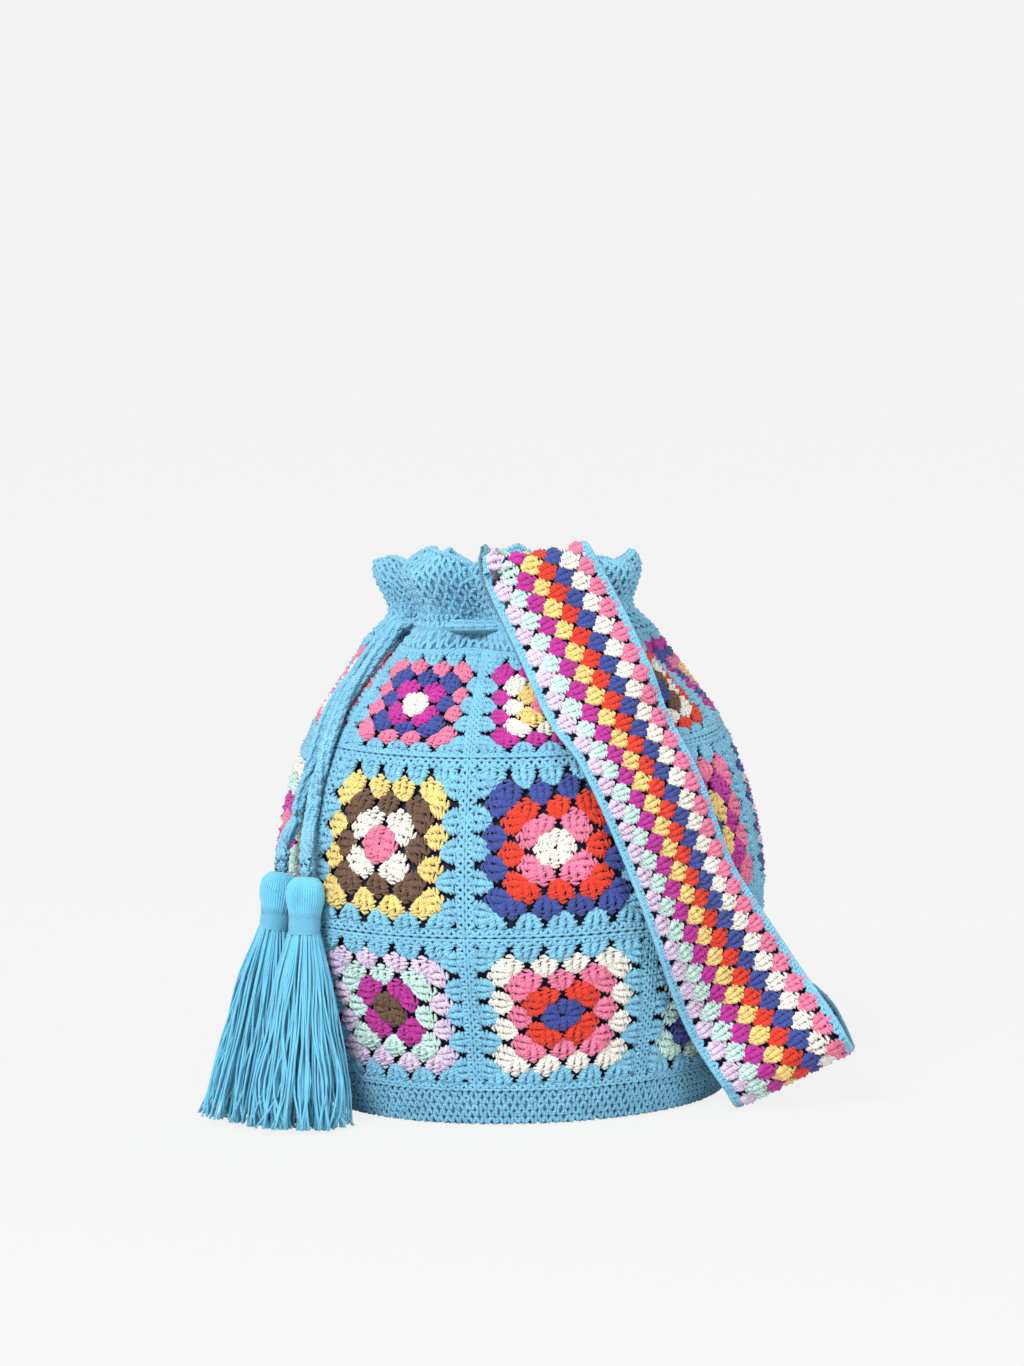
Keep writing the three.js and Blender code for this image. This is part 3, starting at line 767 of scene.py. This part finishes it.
def short_stitches(x, y, width, height, lift=0.0):
    """V-shaped short stitches, low point at (x, y): the two legs of each, as lines."""
    x, y = np.broadcast_arrays(np.asarray(x, float), np.asarray(y, float))
    legs = []
    for leg in (-1, 1):
        path = [
            (x + 0.06 * leg * width, y, lift - 0.8 + 0 * x),
            (x + 0.22 * leg * width, y + 0.5 * height, lift + 0.5 + 0 * x),
            (x + 0.46 * leg * width, y + 1.12 * height, lift - 0.5 + 0 * x),
        ]
        legs.append(np.stack([np.stack(p, -1) for p in path], -2))
    lines = np.concatenate([leg.reshape(-1, 3, 3) for leg in legs])
    return lines + rng.normal(0, 0.1, lines.shape)


# The granny squares: five rounds of fans each, and a sewn edge, on the body's gathered face

ROUNDS = 5
ROUND_DEPTH = 9.4
FAN_PITCH = 17.6
HALF = 50.0
SQUARE_STITCH = 5.0
LOOSE = 1.5
GATHERED_YARN = 0.86
ROWS = {
    "low": (BAND_HEIGHT, MID_SEAM), "mid": (MID_SEAM, SHOULDER), "top": (SHOULDER, COLLAR_SEAM),
}
SQUARES = {
    "mid_8": ("pink", "cream", "brown", "yellow"),
    "mid_1": ("cream", "pink", "red", "navy"),
    "mid_2": ("navy", "yellow", "magenta", "pink"),
    "mid_3": ("mint", "red", "lilac", "navy"),
    "mid_4": ("yellow", "magenta", "cream", "brown"),
    "mid_5": ("navy", "pink", "yellow", "red"),
    "mid_6": ("lilac", "brown", "cream", "magenta"),
    "mid_7": ("pink", "magenta", "mint", "cream"),
    "low_8": ("brown", "magenta", "mint", "lilac"),
    "low_1": ("navy", "red", "pink", "cream"),
    "low_2": ("yellow", "lilac", "navy", "mint"),
    "low_3": ("red", "cream", "magenta", "yellow"),
    "low_4": ("pink", "navy", "lilac", "brown"),
    "low_5": ("cream", "yellow", "mint", "magenta"),
    "low_6": ("magenta", "pink", "navy", "red"),
    "low_7": ("mint", "brown", "yellow", "navy"),
    "top_8": ("cream", "magenta", "navy", "pink"),
    "top_1": ("pink", "yellow", "cream", "magenta"),
    "top_2": ("navy", "brown", "cream", "red"),
    "top_3": ("yellow", "pink", "navy", "magenta"),
    "top_4": ("lilac", "red", "yellow", "cream"),
    "top_5": ("magenta", "mint", "brown", "pink"),
    "top_6": ("cream", "navy", "red", "lilac"),
    "top_7": ("yellow", "lilac", "cream", "pink"),
}


def square_to_space(middle, low, high):
    """A square's flat design drawn on the body, pulled a little out of true inside its edge."""
    phase = rng.uniform(0, 2 * np.pi, 4)

    def to_space(x, y, lift):
        loose = LOOSE * (1 - np.clip(x / HALF, -1, 1) ** 4)
        loose = loose * (1 - np.clip(y / HALF, -1, 1) ** 4)
        wave_x = np.sin(y / 15 + phase[0]) + 0.6 * np.sin(y / 8 + x / 22 + phase[1])
        wave_y = np.sin(x / 16 + phase[2]) + 0.6 * np.sin(x / 9 - y / 20 + phase[3])
        pulled_x, pulled_y = x + loose * wave_x, y + loose * wave_y
        theta = middle + pulled_x / HALF * math.pi / COLUMNS
        z = low + (pulled_y + HALF) / (2 * HALF) * (high - low)
        return over_body(theta, z, lift - 0.4), body_normal(theta, z)
    return to_space


def quarter_turns(points, quarter):
    """Points (x, y, ...) of a square's upper side, turned to another side."""
    x, y = points[..., 0], points[..., 1]
    turned = [(x, y), (y, -x), (-x, -y), (-y, x)][quarter]
    return np.concatenate([np.stack(turned, -1), points[..., 2:]], -1)


def make_square(name, colours):
    row, column = name.split("_")
    low, high = ROWS[row]
    middle = FRONT_SQUARE + 2 * math.pi * (int(column) - 1) / COLUMNS
    to_space = square_to_space(middle, low + 0.4, high - 0.4)
    names = list(dict.fromkeys([*colours, "blue"]))
    weave = Weave()
    thickness = GATHERED_YARN if row == "top" else 1.0
    for round_number in range(1, ROUNDS + 1):
        colour = "blue" if round_number == ROUNDS else colours[round_number - 1]
        slot = names.index(colour)
        k = np.arange(round_number)
        x = (k - (round_number - 1) / 2) * FAN_PITCH
        inner, outer = ROUND_DEPTH * (round_number - 1), ROUND_DEPTH * round_number
        foot_x = x.copy()
        foot_x[0] -= 0.03 * inner
        foot_x[-1] += 0.03 * inner
        feet = np.stack([foot_x, np.full(len(x), max(inner - 1.0, 2.2))], 1)
        tops = np.stack([x, np.full(len(x), outer + 0.5)], 1)
        for quarter in range(4):
            shift = rng.normal(0, 0.35, (len(x), 2))
            own_feet = quarter_turns(feet, quarter) + shift
            own_tops = quarter_turns(tops, quarter) + shift + rng.normal(0, 0.35, (len(x), 2))
            lifts = rng.uniform(-0.25, 0.25, len(x))
            lay_fans(weave, own_feet, own_tops, lifts, to_space, slot, thickness)
            links = [
                [(a + 5, outer - 1.2, -1.2), (a + FAN_PITCH / 2, outer - 1.0, -1.0),
                 (a + FAN_PITCH - 5, outer - 1.2, -1.2)] for a in x[:-1]
            ]
            reach = x[-1]
            links.append([
                (reach + 5, outer - 1, -1), (outer - 1.6, outer - 1.6, -0.8),
                (outer - 1, reach + 5, -1),
            ])
            lines = quarter_turns(np.array(links, float), quarter)
            lay_strands(weave, lines, 1.0 * thickness, to_space, slot)
    blue = names.index("blue")
    at = np.arange(-HALF + SQUARE_STITCH / 2, HALF, SQUARE_STITCH)
    for quarter in range(4):
        lines = short_stitches(at, ROUNDS * ROUND_DEPTH - 1.4, SQUARE_STITCH, 2.6, 0.5)
        lay_strands(weave, quarter_turns(lines, quarter), 1.1, to_space, blue, 5)
        top = ROUNDS * ROUND_DEPTH + 2.0
        knots = np.stack([
            np.stack([at + along, at * 0 + top + up, at * 0 + lift], -1)
            for along, up, lift in ((-2.6, -0.3, 0.4), (0, 0.5, 1.2), (2.6, -0.2, 0.2))
        ], 1)
        lay_strands(weave, quarter_turns(knots, quarter), 1.05, to_space, blue)
    piece = whole(weave, f"granny_{name}", [MATERIALS[c] for c in names])
    return finish_piece(piece, [f"granny_square_{name}"])


squares = [make_square(name, colours) for name, colours in SQUARES.items()]


# The strap: eight rows of fans, brickwise, with a stitched blue edge and a dark cloth backing


def reach_at(z):
    return float(radius_at(z) + gather_at(z))


STRAP_LIFT = 3.95


def strap_on_body(degrees, z, lift):
    theta = math.radians(degrees)
    fall = (reach_at(z + 1) - reach_at(z - 1)) / 2
    face = unit(math.sin(theta), -math.cos(theta), -fall)
    radius = reach_at(z)
    place = np.array([radius * math.sin(theta), -radius * math.cos(theta), z])
    return place + face * (STRAP_LIFT + lift), face


FRONT_PLANE = -(reach_at(RIM - BULGE_DROP / 2) + STRAP_THICKNESS / 2 + GAP)
OUTER_PLANE = FRONT_PLANE - 2 * STRAP_FOLD_RADIUS
FOLD_HEIGHT = RIM + RIM_WAVE - STRAP_FOLD_RADIUS - 2
TURN_CENTRE = beside_body(61.4, STRAP_WIDTH * 0.44, 41.2)
TURN_DOWN = unit(0.43, 0.06, -0.9)
TURN_SIDE = unit(0, 1, 0.06)


def strap_turn(degrees):
    a = math.radians(degrees)
    face = -TURN_SIDE * math.cos(a) + TURN_DOWN * math.sin(a)
    return TURN_CENTRE + face * STRAP_TURN_RADIUS, face


def strap_fold(degrees):
    a = math.radians(degrees)
    x = 10 + degrees / 45
    y = FRONT_PLANE - STRAP_FOLD_RADIUS + STRAP_FOLD_RADIUS * math.cos(a)
    z = FOLD_HEIGHT + STRAP_FOLD_RADIUS * math.sin(a)
    return np.array([x, y, z]), unit(-0.1, math.cos(a), math.sin(a))


def station(place, *face):
    return np.asarray(place, float), unit(*face)


STRAP_ROUTE = [
    station((30, FRONT_PLANE - 3.2, COLLAR_SEAM + 3), 0, 1, -0.05),
    station((21, FRONT_PLANE, COLLAR_SEAM + 25), 0, 1, 0),
    *(strap_fold(a) for a in (0, 45, 90, 135, 180)),
    station((31, OUTER_PLANE - 2, WAIST), 0.08, -1, 0.02),
    station((45, OUTER_PLANE - 8.3, SHOULDER + 34), 0.22, -1, 0.2),
    strap_on_body(29, SHOULDER + 6, 5),
    strap_on_body(34.5, MID_SEAM + 68, 3),
    strap_on_body(42.5, MID_SEAM + 10, 3.5),
    station(beside_body(53.4, 62, 24.4), 0.3, -1, 0),
    *(strap_turn(a) for a in (0, 45, 90, 135, 180)),
    station(beside_body(71.9, 42, 23.4), 0.66, 0.72, 0.1),
    station(beside_body(84.2, 47, 16.9), 0.97, 0.2, 0.1),
    strap_on_body(98, 52, 4),
    strap_on_body(122, 66, 3),
    strap_on_body(145, 104, 1.5),
    strap_on_body(160, 150, 2),
    strap_on_body(172, SHOULDER, 3),
    station((4, reach_at(COLLAR_SEAM - 6) + STRAP_LIFT + 2, COLLAR_SEAM - 6), 0, 1, 0.2),
    station((0, reach_at(RIM) + STRAP_LIFT + 1, RIM - RIM_FALL - 11), 0, 1, 0),
]
STRAP_SAMPLES = 700
strap_line = catmull([place for place, _ in STRAP_ROUTE], STRAP_SAMPLES)
strap_face = catmull([face for _, face in STRAP_ROUTE], STRAP_SAMPLES, even=True)
strap_along = normalised(np.gradient(strap_line, axis=0))
strap_face -= strap_along * (strap_face * strap_along).sum(1, keepdims=True)
strap_face = normalised(strap_face)
strap_side = np.cross(strap_face, strap_along)
strap_share = np.linspace(0, 1, STRAP_SAMPLES)
strap_width = STRAP_END_WIDTH + (STRAP_WIDTH - STRAP_END_WIDTH) * (
    smoothstep(strap_share, 0.1, 0.5) * smoothstep(1 - strap_share, 0.05, 0.3)
)
strap_gone = gone_along(strap_line)
STRAP_LENGTH = float(strap_gone[-1])
STRAP_ROWS = ("lilac", "mint", "magenta", "yellow", "red", "navy", "cream", "pink")
STRAP_PITCH = 13.0
STRAP_START = 6
STRAP_FOOT = 1.3
STRAP_TOP = 1.5
STRAP_YARN = 0.95
STRAP_SPREAD = 0.78
STRAP_EDGE_STITCH = 4.6
BACKING_FRONT = -2.7
BACKING_BACK = -3.2
BACKING_START = 84
STRAP_EDGE = 4.5
STRAP_ROW = (STRAP_WIDTH - 2 * STRAP_EDGE) / len(STRAP_ROWS)


def strap_to_space(s, across, lift):
    def along(values):
        if values.ndim == 1:
            return np.interp(s, strap_gone, values)
        return np.stack([np.interp(s, strap_gone, c) for c in values.T], -1)

    middle, side, face = along(strap_line), along(strap_side), along(strap_face)
    share = along(strap_width) / STRAP_WIDTH
    point = middle + side * (across * share)[..., None] + face * lift[..., None]
    return point, face


def make_strap():
    names = [*STRAP_ROWS, "blue"]
    weave = Weave()
    filled = STRAP_LENGTH - 2 * STRAP_START
    count = round(filled / STRAP_PITCH)
    pitch = filled / (count - 0.5)
    for row in range(len(STRAP_ROWS)):
        s = STRAP_START + (np.arange(count) + 0.5 * (row % 2)) * pitch
        low = -STRAP_WIDTH / 2 + STRAP_EDGE + row * STRAP_ROW
        feet = np.stack([s, np.full(count, low - STRAP_FOOT)], 1)
        feet += rng.normal(0, 0.3, (count, 2))
        tops = np.stack([s, np.full(count, low + STRAP_ROW + STRAP_TOP)], 1)
        tops += rng.normal(0, 0.4, (count, 2))
        lifts = rng.uniform(-0.2, 0.2, count) + 0.2
        lay_fans(weave, feet, tops, lifts, strap_to_space, row, STRAP_YARN, STRAP_SPREAD)
    blue = names.index("blue")
    pitch = STRAP_EDGE_STITCH
    s = np.arange(pitch, STRAP_LENGTH - pitch / 2, pitch)
    for edge in (-1, 1):
        for at_row, lift in ((STRAP_WIDTH / 2 - 4.8, 0.3), (STRAP_WIDTH / 2 - 3.0, 0.0)):
            lines = short_stitches(s, at_row, pitch, 2.0, lift)
            lines[..., 1] *= edge
            lay_strands(weave, lines, 1.15, strap_to_space, blue, 5)
        long = np.linspace(2, STRAP_LENGTH - 1, 420)
        out = edge * (STRAP_WIDTH / 2 - 1.2 + 0.12 * np.sin(long * 1.4))
        edge_line = np.stack([long, out, -0.2 + 0.2 * np.sin(long * 2.1)], -1)
        lay_strands(weave, edge_line[None], 1.25, strap_to_space, blue, 6)
    across = np.linspace(-STRAP_WIDTH / 2 + 1, STRAP_WIDTH / 2 - 1, 30)
    uneven = 0.8 + 0.3 * np.sin(across * 1.7)
    for short in (1.2, 3.4):
        seam = np.stack([0 * across + STRAP_LENGTH - short, across, uneven], -1)
        lay_strands(weave, seam[None], 1.5, strap_to_space, blue, 6)
    piece = whole(weave, "strap_rows", [MATERIALS[c] for c in names])
    return finish_piece(piece, ["strap"])


strap = make_strap()


def grid(rows, closed=False):
    """Points and faces of a skin through rings of points, all with the same count. If closed is
    true, the last ring joins the first."""
    rows = np.asarray(rows, float)
    m, n, _ = rows.shape
    i, j = np.meshgrid(np.arange(m if closed else m - 1), np.arange(n), indexing="ij")
    i, j = i.ravel(), j.ravel()
    up, over = (i + 1) % m, (j + 1) % n
    faces = np.stack([i * n + j, i * n + over, up * n + over, up * n + j], 1)
    return rows.reshape(-1, 3), faces


def make_strap_backing():
    """A thin dark band behind the rows."""
    s = np.linspace(BACKING_START, STRAP_LENGTH - 4, 240)
    half = STRAP_WIDTH / 2 - STRAP_EDGE
    front, back = BACKING_FRONT, BACKING_BACK
    rows = []
    for lift, across in (
        (front, half), (front, 0), (front, -half), (back, -half), (back, 0), (back, half),
    ):
        points, _ = strap_to_space(s, np.full(len(s), across), np.full(len(s), lift))
        rows.append(points)
    points, faces = grid(np.stack(rows, 0).transpose(1, 0, 2))
    n = len(rows)
    last = (len(s) - 1) * n
    caps = [[3, 2, 1, 0], [5, 4, 3, 0], [last, last + 1, last + 2, last + 3],
            [last, last + 3, last + 4, last + 5]]
    faces = np.concatenate([faces, caps])
    piece = plain_piece("strap_backing", points, faces, [], LINING)


make_strap_backing()


# The collar: short stitches all over a gathered wall, on both sides and over the rim

COLLAR_FOOT = COLLAR_SEAM + 0.4
COLLAR_ROWS = 12
COLLAR_STITCHES = 92
RIM_KNOTS = 117
RIM_RISE = 8.0
RIM_ROLL = 15.0
RIM_SAG = 4.0
RIM_LEAN = 3.0


def rim_at(theta):
    """The rim's height: wide round tops on the lobes, and narrow valleys between them. It is
    lowest at the back, and a little lower on the right than on the left."""
    scallop = 2 * np.abs(np.cos(LOBES * (theta - LOBE_TURN) / 2)) ** 0.8 - 1
    fall = (RIM_FALL + RIM_SAG) * (1 - np.cos(theta)) / 2 + RIM_LEAN * np.sin(theta)
    return RIM + 0.5 + RIM_RISE * scallop - fall


def roll_at(theta, level):
    """How far the collar rolls in over its last rows, most of all on a lobe."""
    t = np.clip((level - 0.5) / 0.54, 0, 1)
    return RIM_ROLL * (1 - np.sqrt(1 - t * t)) * (0.6 + 0.4 * lobe_at(theta))


def collar_to_space(inside):
    def to_space(around, level, lift):
        theta = around
        z = COLLAR_FOOT + (rim_at(theta) - 2.0 - COLLAR_FOOT) * level
        normal = body_normal(theta, z)
        roll = roll_at(theta, level)
        if inside:
            return over_body(theta, z, -COLLAR_THICKNESS + 0.2 - lift - roll), -normal
        return over_body(theta, z, lift - 0.3 - roll), normal
    return to_space


def even_turns(count, z):
    """Angles that part the gathered ring at a height into even lengths."""
    theta = np.linspace(0, 2 * np.pi, 2001)
    gone = gone_along(body_point(theta, z))
    return np.interp(np.arange(count) / count * gone[-1], gone, theta)


def make_collar():
    weave = Weave()
    theta = np.linspace(0, 2 * np.pi, 281)[:-1]
    foot, top = COLLAR_FOOT + 0 * theta, rim_at(theta) - 2.2
    walls = []
    for share, inset in (
        (0, 0.8), (0.25, 0.8), (0.5, 0.8), (0.7, 0.8), (0.8, 0.8), (0.9, 0.8), (1, 0.8),
        (1.02, 1.7), (1, 2.7), (0.9, 2.7), (0.8, 2.7), (0.7, 2.7), (0.5, 2.7), (0.25, 2.7),
        (0, 2.7),
    ):
        walls.append(over_body(theta, foot + (top - foot) * share, -inset - roll_at(theta, share)))
    points, faces = grid(walls, closed=True)
    # With a strand of zero the wall takes a middling painted shade from the yarn material
    weave.put(points, faces, points * 0, 0)
    turns = even_turns(COLLAR_STITCHES, COLLAR_SEAM + 30)
    step = 1 / COLLAR_ROWS
    for inside, sides in ((False, 5), (True, 4)):
        to_space = collar_to_space(inside)
        for row in range(3 if inside else 0, COLLAR_ROWS):
            lines = short_stitches(np.arange(COLLAR_STITCHES) + 0.5 * (row % 2), 0, 1, 1, 0)
            lines[..., 0] = np.interp(
                (lines[..., 0] + 1) % COLLAR_STITCHES, np.arange(COLLAR_STITCHES + 1),
                np.append(turns, 2 * np.pi),
            )
            around = lines[..., 0]
            over = np.ptp(around, axis=1) > np.pi
            around[over] += np.where(around[over] < np.pi, 2 * np.pi, 0)
            lines[..., 1] = (row + np.clip(lines[..., 1], -0.1, 1.1)) * step
            lay_strands(weave, lines, 1.25, to_space, 0, sides)
    rim = np.linspace(0, 2 * np.pi, RIM_KNOTS + 1)[:-1]
    gap_angle = rim[1] - rim[0]
    for shift, lift, rise in ((-0.15, -0.6, 0.0), (0.35, -2.8, 0.2)):
        knots = []
        for part, up in ((-0.62, -0.5), (0, 0.9), (0.62, -0.4)):
            a = rim + gap_angle * (part + shift)
            knots.append(over_body(a, rim_at(a) - 1.6 + up + rise, lift - roll_at(a, 1.0)))
        weave.put(*tubes(np.stack(knots, 1), 1.45), 0)
    piece = whole(weave, "collar_stitches", [MATERIALS["blue"]])
    finish_piece(piece, ["collar"])


make_collar()


# The base: rounds of short stitches under the bag, then up its low band

BASE_ROUNDS = 15
BASE_STITCH = 6.5
BAND_STITCHES = 168
BAND_ROWS = 5


def round_point(theta, radius, z):
    return np.stack([radius * np.sin(theta), -radius * np.cos(theta), 0 * theta + z], -1)


def make_base():
    weave = Weave()
    theta = np.linspace(0, 2 * np.pi, 181)[:-1]
    top = BAND_HEIGHT - 0.6
    walls = [
        (6, 1.4), (60, 1.4), (BASE_RADIUS - 2.4, 1.4), (radius_at(4) - 1.6, 4),
        (radius_at(11) - 1.2, 11), (radius_at(top) - 1.2, top), (radius_at(top) - 3.2, top),
        (radius_at(5) - 4.2, 5), (60, 3.2), (6, 3.2),
    ]
    points, faces = grid([round_point(theta, *at) for at in walls], closed=True)
    # With a strand of zero the wall takes a middling painted shade from the yarn material
    weave.put(points, faces, points * 0, 0)

    def side_space(around, z, lift):
        return over_body(around, z, lift - 0.6), body_normal(around, z)

    height = (BAND_HEIGHT - 1.4) / BAND_ROWS
    pitch = 2 * np.pi / BAND_STITCHES
    for row in range(BAND_ROWS):
        lines = short_stitches(np.arange(BAND_STITCHES), 0, 1, height, 0.2)
        lines[..., 0] = (lines[..., 0] + 0.5 * (row % 2)) * pitch
        lines[..., 1] += 1.0 + row * height
        lay_strands(weave, lines, 1.15, side_space, 0)

    def floor_space(around, radius, lift):
        point = round_point(around, radius, 1.9 - lift * 0.35)
        return point, np.broadcast_to([0.0, 0.0, -1.0], point.shape)

    step = (BASE_RADIUS - 2) / BASE_ROUNDS
    for row in range(BASE_ROUNDS):
        radius = (row + 0.15) * step
        count = max(6, round(2 * np.pi * (radius + step / 2) / BASE_STITCH))
        pitch = 2 * np.pi / count
        lines = short_stitches(np.arange(count), 0, 1, step, 0)
        lines[..., 0] = (lines[..., 0] + 0.5 * (row % 2)) * pitch
        lines[..., 1] += radius
        lay_strands(weave, lines, 1.5, floor_space, 0)
    piece = whole(weave, "base_stitches", [MATERIALS["blue"]])
    finish_piece(piece, ["base"])


make_base()


# The lining: a thin cloth pouch behind the squares

LINING_INSET = 4.2
LINING_CLOTH = 0.7
LINING_TOP = COLLAR_SEAM + 11


def make_lining():
    theta = np.linspace(0, 2 * np.pi, 169)[:-1]
    outer, inner = [], []
    for z in [4.5, 5.5, *np.linspace(9, LINING_TOP, 34)]:
        shrink = LINING_INSET + 0.35 * np.sin(theta * 21 + z * 0.11) * smoothstep(z, 30, 200)
        outer.append(over_body(theta, z, -shrink))
        inner.append(over_body(theta, z + (0.6 if z < 5 else 0), -shrink - LINING_CLOTH))
    low, high = (round_point(theta, 3, z) for z in (4.2, 4.9))
    points, faces = grid([low, *outer, *inner[::-1], high], closed=True)
    piece = plain_piece("lining_cloth", points, faces, ["lining"], LINING)


make_lining()


# The stud: a small domed rivet head on a flat washer

STUD_RADIUS = 2.6
STUD_HEIGHT = 2.0
STUD_ANGLE = -87
STUD_DROP = 9
WASHER_HEIGHT = 0.55


def make_stud():
    theta, height = math.radians(STUD_ANGLE), COLLAR_SEAM - STUD_DROP
    foot = over_body(theta, height, RIDGE + GAP)
    out = body_normal(np.float64(theta), np.float64(height))
    side = normalised(np.cross(out, [0, 0, 1]))
    up = np.cross(side, out)
    angle = np.linspace(0, 2 * np.pi, 41)[:-1]
    outline = [
        (0.02, 0), (STUD_RADIUS, 0), (STUD_RADIUS, 0.45), (STUD_RADIUS * 0.93, WASHER_HEIGHT),
    ]
    outline += [
        (
            STUD_RADIUS * 0.82 * math.cos(a),
            WASHER_HEIGHT + (STUD_HEIGHT - WASHER_HEIGHT) * math.sin(a),
        )
        for a in np.linspace(0, math.pi / 2 - 0.02, 9)
    ]
    rows = [
        foot + (side * np.cos(angle)[:, None] + up * np.sin(angle)[:, None]) * r + out * h
        for r, h in outline
    ]
    points, faces = grid(rows, closed=True)
    plain_piece("stud_head", points, faces, ["stud"], METAL)


make_stud()


# The stage: a wide pale floor, and soft studio light

FLOOR_REACH = 40
FLOOR_GREY = (226, 226, 226)
GROUND_SEEN = (246, 246, 246)
GLOW_SHARE = 0.92
WORLD_LIGHT = 0.6


def make_stage():
    n = Nodes("stage")
    n.look(Base_Color=srgb(*FLOOR_GREY) + [1], Roughness=0.9, Specular_IOR_Level=0.1)
    glow = n.add("ShaderNodeEmission", Color=srgb(*GROUND_SEEN) + [1])
    ray = n.add("ShaderNodeLightPath").outputs["Is Camera Ray"]
    mix = n.add("ShaderNodeMixShader", Fac=n.maths("MULTIPLY", ray, GLOW_SHARE))
    n.put(mix.inputs[1], n.shader.outputs[0])
    n.put(mix.inputs[2], glow.outputs[0])
    n.put(n.tree.nodes["Material Output"].inputs["Surface"], mix.outputs[0])
    mesh = bpy.data.meshes.new("stage")
    reach = FLOOR_REACH
    corners = [(-reach, -reach, 0), (reach, -reach, 0), (reach, reach, 0), (-reach, reach, 0)]
    mesh.from_pydata(corners, [], [(0, 1, 2, 3)])
    mesh.materials.append(n.material)
    new_object("stage", mesh)


def make_light(name, place, size, power, aim=(0, 0, 0.15)):
    data = bpy.data.lights.new(name, "AREA")
    data.shape = "DISK"
    data.size = size
    data.energy = power
    back = normalised(np.subtract(place, aim))
    side = normalised(np.cross([0, 0, 1], back))
    new_object(name, data).matrix_world = placed(side, np.cross(back, side), back, place)


make_stage()
make_light("key", place=(-1.3, -2.2, 2.4), size=1.3, power=108)
make_light("fill", place=(2.4, -2.0, 1.2), size=1.8, power=30)
world = bpy.data.worlds.new("studio")
world.use_nodes = True
world.node_tree.nodes["Background"].inputs["Color"].default_value = (1, 1, 1, 1)
world.node_tree.nodes["Background"].inputs["Strength"].default_value = WORLD_LIGHT
bpy.context.scene.world = world
bpy.context.scene.view_settings.view_transform = "Standard"
